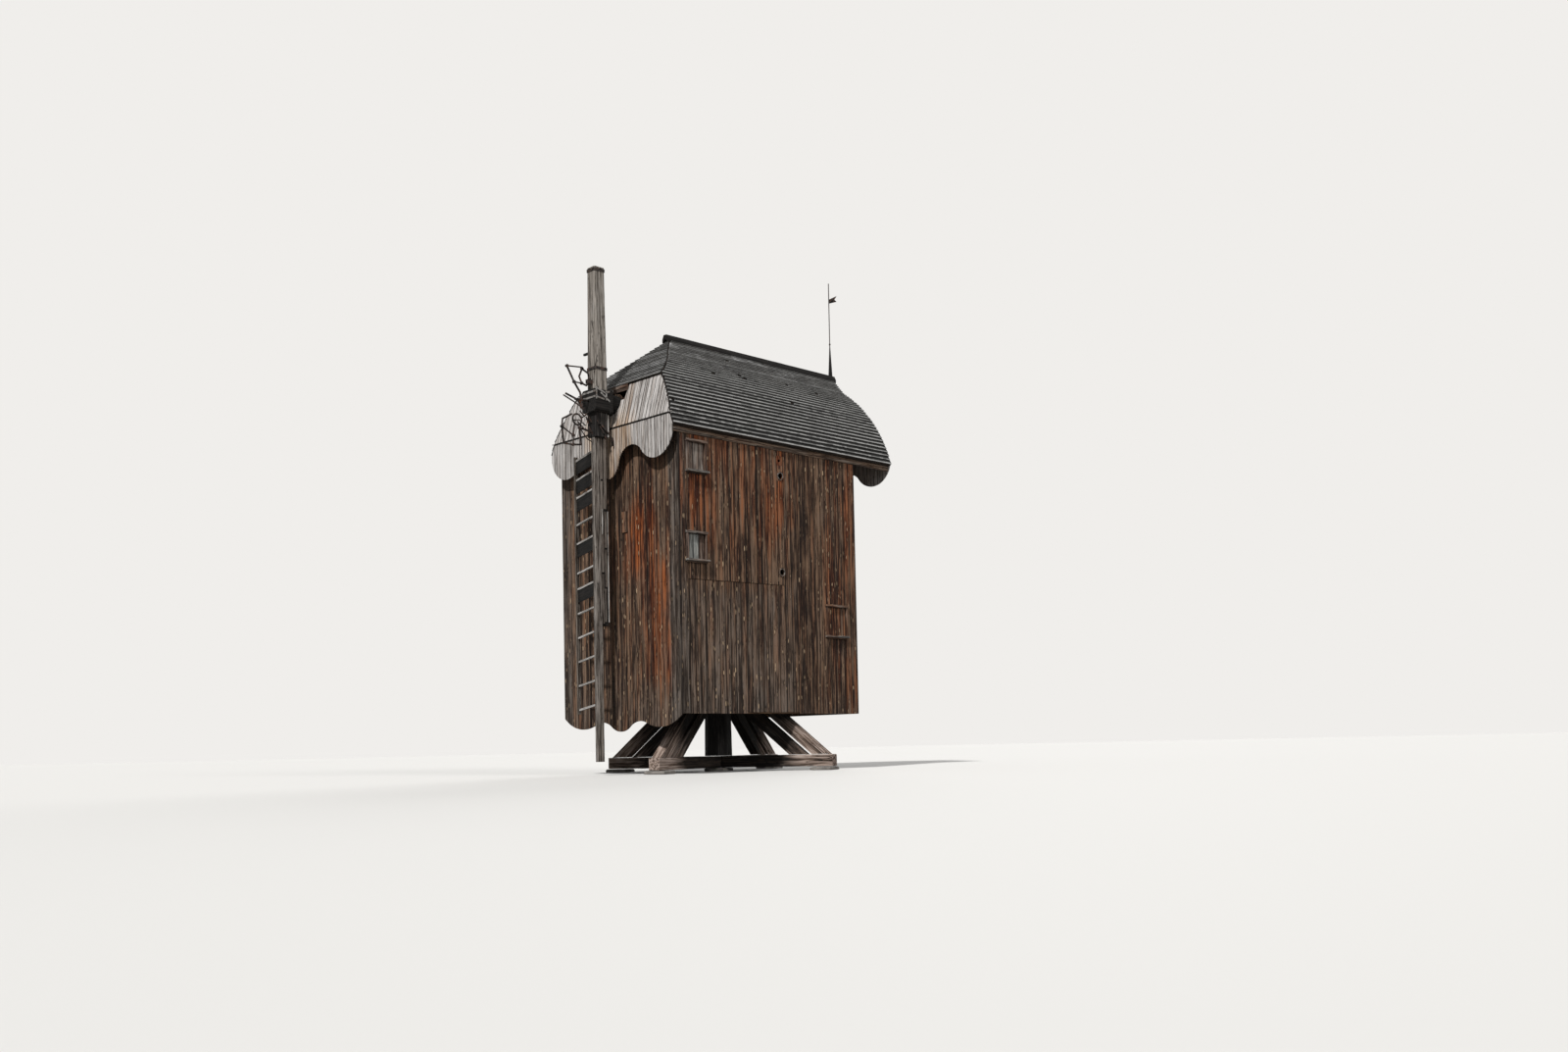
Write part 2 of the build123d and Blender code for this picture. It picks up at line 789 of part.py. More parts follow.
def poll_end():
    """The squared head of the shaft, with a raised rim behind and a mortise for the stock."""
    block = square_log(poll_size, poll_front_y, poll_rear_y, poll_chamfer)
    rim = square_log(poll_size + 2 * poll_flange, poll_rear_y - poll_flange_width, poll_rear_y, poll_chamfer)
    mortise = box(-stock_root / 2, stock_root / 2, stock_y - stock_root / 2, stock_y + stock_root / 2,
                  shaft_z - poll_size, shaft_z + poll_size)
    return block + rim - mortise


def bearing_block(y):
    """A bearing timber under the shaft, with a half-round seat."""
    half_width = bearing_width / 2 - turn_play
    block = box(-bearing_half_length, bearing_half_length, y - half_width, y + half_width,
                bearing_foot_z, shaft_z)
    return block - shaft_round(journal_radius + bearing_play, y - bearing_width, y + bearing_width)


def shaft_beam(y):
    """The cross beam that carries a bearing block, from wall to wall under the roof."""
    beam = box(-house_width, house_width, y - frame_post / 2, y + frame_post / 2,
               bearing_foot_z - shaft_beam_height, bearing_foot_z)
    return beam & under_roof


stock_foot_z = shaft_z - poll_size / 2 - stock_root_drop
stock_shoulder_z = shaft_z + poll_size / 2


def stock_width(z):
    """The upper arm's width at that height: even in the poll, then tapering to its tip."""
    share = max(0.0, (z - stock_shoulder_z) / (stock_top_z - stock_shoulder_z))
    return stock_root + (stock_tip - stock_root) * share


def main_stock():
    """The stock's upper arm: a squared, tapering timber with rounded edges, held in the poll."""
    root = box(-stock_root / 2, stock_root / 2, stock_y - stock_root / 2, stock_y + stock_root / 2,
               stock_foot_z, stock_shoulder_z)
    low = Pos(0, stock_y, stock_shoulder_z) * RectangleRounded(stock_root, stock_root, stock_rounding)
    high = Pos(0, stock_y, stock_top_z) * RectangleRounded(stock_tip, stock_tip, stock_rounding)
    return root + loft([low, high])


def stock_peg():
    """The stub of a bar that still stands out of the upper arm."""
    reach = peg_length - stock_width(peg_z) / 2
    x1 = -stock_width(peg_z) / 2
    peg = box(x1 - reach, 0, stock_y - peg_section / 2, stock_y + peg_section / 2,
              peg_z - peg_section / 2, peg_z + peg_section / 2)
    return peg - main_stock()


def hoop(z):
    """A flat iron band driven onto the tapering arm."""
    reach = stock_width(z) / 2 + hoop_thickness
    block = box(-reach, reach, stock_y - reach, stock_y + reach, z - hoop_width / 2, z + hoop_width / 2)
    return chamfer(block.edges().filter_by(Axis.Z), hoop_corner) - main_stock()


whip_y0 = stock_y - stock_root / 2 + whip_set_back
whip_y1 = whip_y0 + whip_depth
backing_y0 = whip_y1 + backing_gap
backing_y1 = backing_y0 + backing_depth


def lower_whip():
    return box(-whip_width / 2, whip_width / 2, whip_y0, whip_y1, whip_end_z, stock_foot_z)


def whip_backing():
    """A second timber behind the whip, held off it by short blocks."""
    back = box(-whip_width / 2, whip_width / 2, backing_y0, backing_y1, backing_end_z, stock_foot_z)
    for drop in spacer_drops:
        top = shaft_z - drop
        back += box(-whip_width / 2, whip_width / 2, whip_y1, backing_y0, top - spacer_height, top)
    return back


def bar_start(drop):
    return Vector(-whip_width / 2, whip_y0 + bar_inset, shaft_z - drop)


def bar_end(drop):
    return bar_start(drop) + Vector(-bar_reach, bar_set_back, -bar_droop)


def along_bar(drop, offset, thickness, depth):
    """A timber from the whip to the stile, beside the bar at that drop below the shaft."""
    start = bar_start(drop)
    line = bar_end(drop) - start
    plane = Plane(origin=start, x_dir=line.cross(Vector(0, 0, 1)), z_dir=line)
    solid = extrude(plane * Pos(0, offset) * Rectangle(thickness, depth), line.length + depth, both=True)
    return solid & box(bar_end(drop).X, -whip_width / 2, 2 * stock_y, 0, 0, 2 * shaft_z)


def sail_bars():
    """The bars of the sail's frame, each let into the whip."""
    return [along_bar(drop, 0.0, bar_section, bar_section) for drop in boarded_bar_drops + bare_bar_drops]


def sail_boards():
    """The boards that are left in the sail's bays, each hung under its bar."""
    offset = (bar_section + sail_board_height) / 2
    return [along_bar(drop, offset, sail_board, sail_board_height) for drop in boarded_bar_drops]


def sail_stile():
    """The outer edge of the sail's frame."""
    top = bar_end(min(boarded_bar_drops))
    bottom = bar_end(max(bare_bar_drops))
    return box(top.X - bar_section, top.X, top.Y - bar_section, top.Y + bar_section,
               bottom.Z - stile_overrun, top.Z + stile_overrun)


def cross_stub():
    """What is left of the cross stock, broken off beside the poll at a slant."""
    x0 = -poll_size / 2
    z = shaft_z + stub_rise
    stub = box(x0 - stub_length, x0, stock_y - stub_section / 2, stock_y + stub_section / 2,
               z - stub_section / 2, z + stub_section / 2)
    break_line = outline_xz([
        (x0 - stub_length, z + stub_section),
        (x0 - stub_length, z - stub_section),
        (x0 - stub_length / 2, z - stub_section),
    ])
    return stub - plate_xz(break_line, stock_y - stub_section, stock_y + stub_section)


# Bent irons of the shutter gear, in the upright plane of the arm and the shaft.
# Their points are given as the reach in front of the poll and the height above the shaft's axis.

def iron_point(reach, rise, x=0.0):
    return (x, poll_front_y - reach, shaft_z + rise)


def bent_rod(points, radius=iron_radius, x=0.0):
    """A round bar bent at each point."""
    path = Polyline(*[iron_point(reach, rise, x) for reach, rise in points])
    start = Plane(origin=path @ 0, z_dir=path % 0)
    return sweep(start * Circle(radius), path=path, transition=Transition.RIGHT)


def eye(reach, rise):
    """The forged eye where bars are pinned together."""
    return Pos(*iron_point(reach, rise)) * Rot(0, 90, 0) * Cylinder(eye_radius, eye_length)


def upper_crank():
    """The bell crank of the upper arm: a bent frame, its loop and the strut down to the spider."""
    frame_tip = (680.0, 806.0)
    loop_top = (200.0, 810.0)
    loop_foot = (215.0, 426.0)
    strut_bend = (459.0, 424.0)
    loop = [loop_top, (295.0, 594.0), loop_foot, (68.0, 391.0), (-33.0, 509.0), (5.0, 720.0), loop_top]
    irons = bent_rod(loop)
    irons += bent_rod([frame_tip, (200.0, 851.0), loop_top], link_radius)
    irons += bent_rod([frame_tip, strut_bend, (269.0, 175.0), (202.0, -217.0)], strut_radius)
    irons += bent_rod([strut_bend, loop_foot], link_radius)
    for pin in (frame_tip, loop_top, strut_bend, loop_foot):
        irons += eye(*pin)
    x, y, z = iron_point(50.0, 450.0)
    irons += box(-crank_block / 2, crank_block / 2, y, stock_y, z, z + crank_block)
    return irons - main_stock()


def spider():
    """The forked end of the striking rod in front of the poll."""
    fork = (370.0, -22.0)
    strut_foot = (202.0, -217.0)
    irons = bent_rod([(0.0, 0.0), fork, (731.0, 78.0)], strut_radius)
    irons += bent_rod([(803.0, 26.0), (468.0, -99.0), strut_foot, fork], link_radius)
    irons += eye(*fork) + eye(*strut_foot)
    return irons - square_log(poll_size, poll_front_y, poll_rear_y, poll_chamfer)


def lower_crank():
    """The tangle of bent rods and the link ring on the lower arm."""
    low_left = (815.0, -1228.0)
    mid_left = (865.0, -799.0)
    low_middle = (512.0, -1226.0)
    low_right = (268.0, -1192.0)
    high_right = (309.0, -756.0)
    middle = (508.0, -985.0)
    in_stock = poll_front_y - stock_y
    frame = [(547.0, -431.0), (838.0, -596.0), mid_left, low_left, low_middle, low_right, high_right]
    irons = bent_rod(frame)
    irons += bent_rod([mid_left, middle, low_middle], link_radius)
    irons += bent_rod([middle, (460.0, -660.0)], link_radius)
    irons += bent_rod([high_right, (370.0, -686.0)], link_radius)
    irons += bent_rod([high_right, (70.0, -800.0), (in_stock, -890.0)], link_radius)
    irons += bent_rod([(247.0, -500.0), (57.0, -355.0), (-87.0, -576.0), (in_stock, -640.0)], link_radius)
    irons += Pos(*iron_point(379.0, -546.0)) * Rot(0, 90, 0) * Torus(link_ring_radius, iron_radius)
    for pin in (mid_left, low_middle, high_right, middle):
        irons += eye(*pin)
    return irons - main_stock() - lower_whip()


def side_rod():
    """A bent bar down the right side of the stock's root, pinned to it twice."""
    x = stock_root / 2 + side_rod_offset
    top = (-170.0, -590.0)
    low_pin = (-432.0, -809.0)
    irons = bent_rod([top, low_pin, (-580.0, -950.0), (-603.0, -1150.0)], x=x)
    for reach, rise in (top, low_pin):
        pin = Rot(0, 90, 0) * Cylinder(side_pin_radius, side_rod_offset)
        irons += Pos(*iron_point(reach, rise, x - side_rod_offset / 2)) * pin
    return irons


def write_parts():
    os.makedirs("parts", exist_ok=True)
    lower_beam, upper_beam = ground_beams()
    write("foot_pads", *foot_pads())
    write("ground_beam_lower", lower_beam)
    write("ground_beam_upper", upper_beam)
    write("main_post", main_post())
    write("upper_braces", *[in_arm(brace(0.0), index) for index in range(4)])
    write("lower_braces", *[in_arm(brace(brace_depth + brace_slot), index) for index in range(4)])
    write("saddle", saddle())

    write("crown_tree", crown_tree())
    write("side_girts", *side_rails(girt_top_z - girt_height, girt_top_z, frame_post))
    write("end_girts", *end_rails(girt_top_z - girt_height, girt_top_z, frame_post))
    write("corner_posts", *corner_posts())
    write("side_sills", *side_rails(wall_bottom_z, wall_bottom_z + rail_height, rail_width))
    write("end_sills", *end_rails(wall_bottom_z, wall_bottom_z + rail_height, rail_width))
    write("sheer_beams", *sheers())
    write("lower_floor", floor_slab(lower_floor_z, post_flats / 2 + floor_play))
    write("middle_floor", floor_slab(middle_floor_z, 0))
    write("upper_floor", floor_slab(upper_floor_z, 0))
    write("front_wall", front_wall())
    write("rear_wall", rear_wall())
    write("side_wall_right", side_wall(1))
    write("side_wall_left", side_wall(-1))
    frames = [hatch_frame_solid(*hatch) for hatch in hatches]
    shutters = [shutter_solid(*hatch) for hatch in hatches]
    write("hatch_frames_right", *frames)
    write("hatch_frames_left", *[mirrored(frame) for frame in frames])
    write("hatch_shutters_right", *shutters)
    write("hatch_shutters_left", *[mirrored(shutter) for shutter in shutters])
    write("hole_rings", *hole_rings())
    write("rear_door", rear_door())
    write("door_surround", door_surround())

    slope = roof_slope()
    write("roof_slope_right", slope)
    write("roof_slope_left", mirrored(slope))
    write("front_hip", front_hip())
    write("ridge_cap", ridge_cap())
    write("front_skirt_lower", front_skirt_lower())
    write("front_skirt_upper", front_skirt_upper())
    write("rear_skirt", rear_skirt())
    write("rear_gable", rear_gable())
    write("fascias", fascia(), mirrored(fascia()))
    write("finial_spike", finial_spike())
    write("finial_rod", finial_rod())

    write("neck_bearing", bearing_block(neck_y))
    write("tail_bearing", bearing_block(tail_y))
    write("shaft_beams", shaft_beam(neck_y), shaft_beam(tail_y))
    write("windshaft", windshaft())
    write("poll_end", poll_end())
    write("main_stock", main_stock())
    write("lower_whip", lower_whip())
    write("whip_backing", whip_backing())
    write("sail_bars", *sail_bars())
    write("sail_boards", *sail_boards())
    write("sail_stile", sail_stile())
    write("cross_stub", cross_stub())
    write("stock_peg", stock_peg())
    write("arm_hoops", *[hoop(shaft_z + rise) for rise in hoop_rises])
    write("upper_irons", upper_crank() + spider())
    write("lower_irons", lower_crank(), side_rod())


write_parts()
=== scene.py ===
"""Dresses a wooden post mill in weathered boards, shingles and iron, and sets it in a plain studio."""

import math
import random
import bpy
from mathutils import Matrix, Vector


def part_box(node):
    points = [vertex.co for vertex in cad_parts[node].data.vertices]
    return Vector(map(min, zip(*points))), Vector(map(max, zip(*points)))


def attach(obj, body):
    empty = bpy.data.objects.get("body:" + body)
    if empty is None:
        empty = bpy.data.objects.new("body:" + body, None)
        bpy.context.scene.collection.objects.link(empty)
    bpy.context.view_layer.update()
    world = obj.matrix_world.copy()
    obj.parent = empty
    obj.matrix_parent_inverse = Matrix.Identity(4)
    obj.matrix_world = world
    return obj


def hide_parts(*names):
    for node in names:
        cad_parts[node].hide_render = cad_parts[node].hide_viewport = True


bl_info = {
    "name": "Post Mill Dressing",
    "version": (1, 0, 0),
    "blender": (4, 5, 0),
    "location": "View3D > Sidebar > Post Mill",
    "description": "Builds the boards, shingles, timbers and irons of a wooden post mill, and its studio",
    "category": "Object",
}

import bmesh
import bpy
from mathutils import Matrix, Vector, noise

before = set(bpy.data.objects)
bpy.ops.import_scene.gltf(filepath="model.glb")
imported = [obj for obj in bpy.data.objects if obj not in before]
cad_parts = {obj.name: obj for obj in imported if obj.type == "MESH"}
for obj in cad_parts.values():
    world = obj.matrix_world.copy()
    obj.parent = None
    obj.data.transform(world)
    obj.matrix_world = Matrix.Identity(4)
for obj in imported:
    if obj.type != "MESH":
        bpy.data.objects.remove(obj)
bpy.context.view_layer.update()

# The mill house, in metres, as the CAD has it. The front with the sails faces -Y.
SIDE_LOW, SIDE_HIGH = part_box("side_wall_right")
FRONT_INNER_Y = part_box("front_wall")[1].y
REAR_LOW, REAR_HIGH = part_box("rear_wall")
SIDE_X = SIDE_HIGH.x
REAR_Y = REAR_HIGH.y
WALL_FOOT = SIDE_LOW.z
WALL_INNER = SIDE_LOW.x
EAVE_X, EAVE_Z = 2.6, 8.85
KNEE_X, KNEE_Z = 0.8, 11.275
BULGE_X, BULGE_Z = 1.89, 10.25
APEX_Z = 11.93
VERGE_FRONT_Y = -3.66
VERGE_REAR_Y = 4.65
PROW_Y = 5.03
TIER_Z = 9.13
HIP_FOOT_Y, HIP_FOOT_Z = -3.34, 10.38
RIDGE_FRONT_Y = -1.535
HIP_OVERHANG = 0.09
HIP_DRIP = 0.03
SKIRT_X = 2.588
SKIRT_DEPTH = 0.028
SHAFT_Z = 9.79

# The upper, middle and lower hatch of a side wall: middle along the wall and up it, width and height
HATCHES = ((-2.835, 8.11, 0.56, 0.72), (-2.87, 5.79, 0.56, 0.66), (2.29, 4.12, 0.76, 0.80))
# Holes in the right wall: middle and radius, the board they are in, and half the height of its plates
VENT_HOLES = ((0.16, 8.39, 0.045), (0.18, 7.97, 0.08), (0.18, 5.35, 0.08))
VENT_BOARD = (0.06, 0.30)
VENT_PLATE = 0.13
# Boards of a side wall between these places end so far short of the sill
SHORT_FEET = (-1.12, 0.71)
SHORT_BY = 0.035
SHORTEST_RUN = 0.005
# The long joint across the right wall: its ends, one point on it, its rise and its width
LONG_JOINT = (-3.24, 0.25)
LONG_JOINT_POINT = (-3.3, 4.955)
LONG_JOINT_RISE = 0.016
LONG_JOINT_WIDTH = 0.01
# Boards of the right wall that end below this height stand back by the ledge
LEDGE_Z = 5.1
LEDGE = 0.012
# The round way for the shaft through the front boards, and where they end behind the hip
SHAFT_WAY = 0.32
HIP_INSIDE = 9.95
# The short board nailed over the front wall: its sides, foot and head
FRONT_PATCH = (0.175, 0.42, 6.37, 6.92)
DOOR_HALF = 0.475
DOOR_FOOT, DOOR_HEAD = 3.532, 5.082

# Points nearer than this are one. A board's face is out of flat by up to the warp, and
# is cut into steps along it and columns across it.
NEAR = 1e-5
WARP = 0.0015
BOARD_STEP = 0.45
BOARD_COLUMN = 0.06
NAIL_RADIUS = 0.009
BOLT_RADIUS = 0.014

# The photograph's camera: where it stands, and where it looks.
CAMERA_PLACE = (28.911, -25.967, 0.6605)
CAMERA_AZIMUTH = math.radians(45.304)
CAMERA_PITCH = math.radians(2.451)
CAMERA_ROLL = math.radians(-1.189)
CAMERA_LENS = 31.71
CAMERA_SHIFT_Y = 0.1027


def linear(code):
    """A hex sRGB colour as linear red, green, blue and alpha."""
    parts = [int(code[i:i + 2], 16) / 255 for i in (1, 3, 5)]
    return tuple(c / 12.92 if c <= 0.04045 else ((c + 0.055) / 1.055) ** 2.4 for c in parts) + (1.0,)


class MillWoodwork(bpy.types.PropertyGroup):
    """Sizes of the boards."""

    board_width: bpy.props.FloatProperty(
        name="Board width", description="Usual width of a wall board", default=0.195, unit="LENGTH")
    skirt_width: bpy.props.FloatProperty(
        name="Skirt board width", description="Usual width of a board in the gable skirts",
        default=0.125, unit="LENGTH")
    board_gap: bpy.props.FloatProperty(
        name="Board gap", description="Open joint between two boards", default=0.007, unit="LENGTH")
    board_depth: bpy.props.FloatProperty(
        name="Board thickness", description="Thickness of a wall board", default=0.034, unit="LENGTH")


class MillRoofing(bpy.types.PropertyGroup):
    """Sizes of the shingles."""

    exposure: bpy.props.FloatProperty(
        name="Exposure", description="Height of each course that the next one leaves bare",
        default=0.128, unit="LENGTH")
    shingle_width: bpy.props.FloatProperty(
        name="Shingle width", description="Usual width of a shingle", default=0.13, unit="LENGTH")
    butt: bpy.props.FloatProperty(
        name="Butt thickness", description="Thickness of a shingle's lower edge",
        default=0.026, unit="LENGTH")


class MillStage(bpy.types.PropertyGroup):
    """The studio round the mill."""

    floor_colour: bpy.props.FloatVectorProperty(
        name="Floor colour", description="Colour of the pale floor", subtype="COLOR", size=4,
        default=linear("#dedcd8"), min=0.0, max=1.0)
    sun_strength: bpy.props.FloatProperty(
        name="Key light", description="Strength of the soft key light", default=3.1, min=0.0)
    fill_strength: bpy.props.FloatProperty(
        name="Fill light", description="Strength of the light on the long side", default=0.95, min=0.0)
    back_strength: bpy.props.FloatProperty(
        name="Back light", description="Strength of the light on the two sides turned away", default=0.9,
        min=0.0)
    sky_strength: bpy.props.FloatProperty(
        name="Sky light", description="Strength of the even light from all round", default=0.22, min=0.0)


def settings():
    """The sizes of the boards, as the sidebar has them."""
    return bpy.context.scene.mill_woodwork


def roofing():
    """The sizes of the shingles, as the sidebar has them."""
    return bpy.context.scene.mill_roofing


# Curves of the roof and of the wavy hems

def circle_through(a, b, c):
    """The centre and radius of the circle through three points."""
    (ax, az), (bx, bz), (cx, cz) = a, b, c
    d = 2 * (ax * (bz - cz) + bx * (cz - az) + cx * (az - bz))
    sa, sb, sc = ax * ax + az * az, bx * bx + bz * bz, cx * cx + cz * cz
    ox = (sa * (bz - cz) + sb * (cz - az) + sc * (az - bz)) / d
    oz = (sa * (cx - bx) + sb * (ax - cx) + sc * (bx - ax)) / d
    return ox, oz, math.hypot(ax - ox, az - oz)


def arc_height(a, b, c):
    """The height at any x along the arc from a through b to c."""
    ox, oz, radius = circle_through(a, b, c)
    side = 1 if b[1] > oz else -1

    def height(x):
        return oz + side * math.sqrt(max(radius * radius - (x - ox) ** 2, 0.0))
    return height


def wave(*arcs):
    """One height for any x from arcs that follow each other outwards from the middle, alike on both sides."""
    pieces = [(arc[0][0], arc[2][0], arc_height(*arc)) for arc in arcs]

    def height(x):
        x = abs(x)
        for start, end, piece in pieces:
            if x <= end or end == pieces[-1][1]:
                return piece(min(x, pieces[-1][1]))
    return height


HEM = wave(
    ((-0.42, 1.29), (0.0, 1.13), (0.42, 1.29)),
    ((0.42, 1.29), (0.77, 1.39), (1.12, 1.32)),
    ((1.12, 1.32), (1.72, 1.225), (2.5, 1.54)),
)


def skirt_wave(rise, tip_rise):
    """The lower edge of a gable skirt: tongue, arch and lobe."""
    tip = (0.0, 7.80 + tip_rise)
    tongue = (0.39, 8.22 + rise)
    cusp = (1.30, 8.42 + rise)
    return wave(
        (tip, (0.195, tip[1] + 0.09), tongue),
        (tongue, (0.87, 8.57 + rise), cusp),
        (cusp, (1.89, 8.08 + rise), (SKIRT_X, 8.67 + rise)),
    )


FRONT_SKIRT_EDGE = skirt_wave(0.0, 0.0)
REAR_SKIRT_EDGE = skirt_wave(0.23, 0.73)
ROOF_X, ROOF_Z, ROOF_R = circle_through((KNEE_X, KNEE_Z), (BULGE_X, BULGE_Z), (EAVE_X, EAVE_Z))
EAVE_ANGLE = math.atan2(EAVE_Z - ROOF_Z, EAVE_X - ROOF_X)
KNEE_ANGLE = math.atan2(KNEE_Z - ROOF_Z, KNEE_X - ROOF_X)
CURVE_LENGTH = ROOF_R * (KNEE_ANGLE - EAVE_ANGLE)
TOP_SLOPE = math.atan2(APEX_Z - KNEE_Z, KNEE_X)
TOP_LENGTH = math.hypot(APEX_Z - KNEE_Z, KNEE_X)


def roof_point(along, lift):
    """The x and z of a point so far up the slope from the eave, lifted off the surface."""
    if along <= CURVE_LENGTH:
        angle = EAVE_ANGLE + along / ROOF_R
        reach = ROOF_R + lift
        return ROOF_X + reach * math.cos(angle), ROOF_Z + reach * math.sin(angle)
    up = along - CURVE_LENGTH
    x = KNEE_X - up * math.cos(TOP_SLOPE) + lift * math.sin(TOP_SLOPE)
    z = KNEE_Z + up * math.sin(TOP_SLOPE) + lift * math.cos(TOP_SLOPE)
    return x, z


def roof_half_width(z):
    """Half the roof's width at that height."""
    if z <= EAVE_Z:
        return EAVE_X
    if z <= KNEE_Z:
        return ROOF_X + math.sqrt(max(ROOF_R ** 2 - (z - ROOF_Z) ** 2, 0.0))
    return max(0.0, (APEX_Z - z) / math.tan(TOP_SLOPE))


def roof_height(x):
    """The roof's height over that x."""
    x = abs(x)
    if x <= KNEE_X:
        return APEX_Z - x * math.tan(TOP_SLOPE)
    if x >= EAVE_X:
        return EAVE_Z
    return ROOF_Z + math.sqrt(max(ROOF_R ** 2 - (x - ROOF_X) ** 2, 0.0))


def verge_front(z):
    """Where the roof's front edge stands at that height: upright, then leaning, then along the hip."""
    if z <= TIER_Z:
        return VERGE_FRONT_Y
    if z <= HIP_FOOT_Z:
        return VERGE_FRONT_Y + (z - TIER_Z) / (HIP_FOOT_Z - TIER_Z) * (HIP_FOOT_Y - VERGE_FRONT_Y)
    return HIP_FOOT_Y + (z - HIP_FOOT_Z) / (APEX_Z - HIP_FOOT_Z) * (RIDGE_FRONT_Y - HIP_FOOT_Y)


def verge_rear(x):
    """Where the roof's rear edge stands at that x: the ridge runs out to a prow."""
    return VERGE_REAR_Y + max(0.0, 1 - abs(x) / KNEE_X) * (PROW_Y - VERGE_REAR_Y)


# Mesh tools

def add_layers(mesh):
    """A board's stretch of grain, its mood, and 1 along its long edges."""
    for name in ("grain", "mood"):
        mesh.verts.layers.float_vector.new(name)
    mesh.verts.layers.float.new("rim")


class Pile:
    """Collects parts in one mesh. Each keeps its own stretch of grain and its own mood:
    mood x picks the board's colour, y warms it and z greys it."""

    def __init__(self, seed):
        self.whole = bmesh.new()
        self.carrier = bpy.data.meshes.new("carrier")
        self.random = random.Random(seed)
        add_layers(self.whole)

    def part(self):
        part = bmesh.new()
        add_layers(part)
        return part

    def grain_shift(self):
        """Takes a part's grain from a place of its own in the pattern."""
        return Vector([self.random.uniform(-30, 30) for _ in range(3)])

    def join(self, part):
        part.to_mesh(self.carrier)
        part.free()
        self.whole.from_mesh(self.carrier)

    def add(self, part, place=None, tone=None, warm=0.0, grey=0.0, turn=None):
        """Joins a part whose grain runs along its own Z, or along Z once it is turned."""
        grain = part.verts.layers.float_vector["grain"]
        mood = part.verts.layers.float_vector["mood"]
        if tone is None:
            tone = self.random.random()
        shift = self.grain_shift()
        for vert in part.verts:
            vert[grain] = (turn @ vert.co if turn else vert.co) + shift
            if place:
                vert.co = place(vert.co)
            vert[mood] = (
                tone,
                warm(vert.co) if callable(warm) else warm,
                grey(vert.co) if callable(grey) else grey,
            )
        self.join(part)

    def finish(self, name, material, body, replaced, slot):
        """Makes the object, gives it its material and hangs it on its body."""
        if not self.whole.faces:
            raise RuntimeError(name + " has no faces")
        bmesh.ops.recalc_face_normals(self.whole, faces=self.whole.faces)
        mesh = bpy.data.meshes.new(name)
        self.whole.to_mesh(mesh)
        self.whole.free()
        bpy.data.meshes.remove(self.carrier)
        piece = bpy.data.objects.new(name, mesh)
        bpy.context.scene.collection.objects.link(piece)
        mesh.materials.append(material)
        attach(piece, body)
        if replaced:
            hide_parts(*replaced)


def bevel(part, edges, offset, segments=1):
    bmesh.ops.bevel(part, geom=edges, offset=offset, offset_type="OFFSET", segments=segments, profile=0.5,
                    affect="EDGES", material=-1, clamp_overlap=True)


def thicken(part, shift):
    """Pulls a flat sheet out to a slab."""
    skin = bmesh.ops.extrude_face_region(part, geom=part.faces[:])
    for item in skin["geom"]:
        if isinstance(item, bmesh.types.BMVert):
            item.co += Vector(shift)


def long_edges(part, depth):
    """The upright edges of a board's outer face."""
    xs = [vert.co.x for vert in part.verts]
    low, high = min(xs), max(xs)
    found = []
    for edge in part.edges:
        a, b = edge.verts
        if abs(a.co.y - depth) < NEAR and abs(b.co.y - depth) < NEAR and abs(a.co.x - b.co.x) < NEAR:
            if abs(a.co.x - low) < NEAR or abs(a.co.x - high) < NEAR:
                found.append(edge)
    return found


def plank(pile, x0, x1, low, high, depth, place, columns=3, edge=0.004, lap=0.0, **look):
    """A board in its own x and z, from low(x) to high(x), its outer face at y = depth. Its inner face is
    wider by a lap at each side, so that no light comes through the joint."""
    part = pile.part()
    middle = (x0 + x1) / 2
    rows = max(1, round((high(middle) - low(middle)) / BOARD_STEP))
    bmesh.ops.create_grid(part, x_segments=columns, y_segments=rows, size=0.5)
    for vert in part.verts:
        x = x0 + (x1 - x0) * (vert.co.x + 0.5)
        foot, head = low(x), high(x)
        vert.co = Vector((x, 0.0, foot + (head - foot) * (vert.co.y + 0.5)))
    thicken(part, (0, depth, 0))
    bevel(part, long_edges(part, depth), edge)
    seed = Vector((pile.random.uniform(0, 50), 0, 0))
    rim = part.verts.layers.float["rim"]
    for vert in part.verts:
        vert[rim] = 1.0 if min(vert.co.x - x0, x1 - vert.co.x) < edge * 1.5 else 0.0
        if vert.co.y > depth / 2:
            vert.co.y += WARP * noise.noise(vert.co * 2.3 + seed)
        elif vert.co.x < x0 + NEAR:
            vert.co.x -= lap
        elif vert.co.x > x1 - NEAR:
            vert.co.x += lap
    pile.add(part, place, **look)


def board_edges(rng, start, end, width, spread=0.22, forced=()):
    """The joints of boards laid side by side, with a joint at every forced place."""
    stops = sorted({start, end, *[x for x in forced if start < x < end]})
    joints = [start]
    for a, b in zip(stops, stops[1:]):
        count = max(1, round((b - a) / width))
        shares = [1 + rng.uniform(-spread, spread) for _ in range(count)]
        whole = sum(shares)
        x = a
        for share in shares[:-1]:
            x += (b - a) * share / whole
            joints.append(x)
        joints.append(b)
    return list(zip(joints, joints[1:]))


def islands(source):
    """The separate solids of a mesh, as sets of vertex indices."""
    source.verts.ensure_lookup_table()
    seen, found = set(), []
    for start in source.verts:
        if start.index in seen:
            continue
        group, queue = {start.index}, [start]
        while queue:
            for edge in queue.pop().link_edges:
                for vert in edge.verts:
                    if vert.index not in group:
                        group.add(vert.index)
                        queue.append(vert)
        seen |= group
        found.append(group)
    return found


def main_axis(part):
    """The direction of a solid's longest edge."""
    edge = max(part.edges, key=lambda item: item.calc_length())
    return (edge.verts[1].co - edge.verts[0].co).normalized()


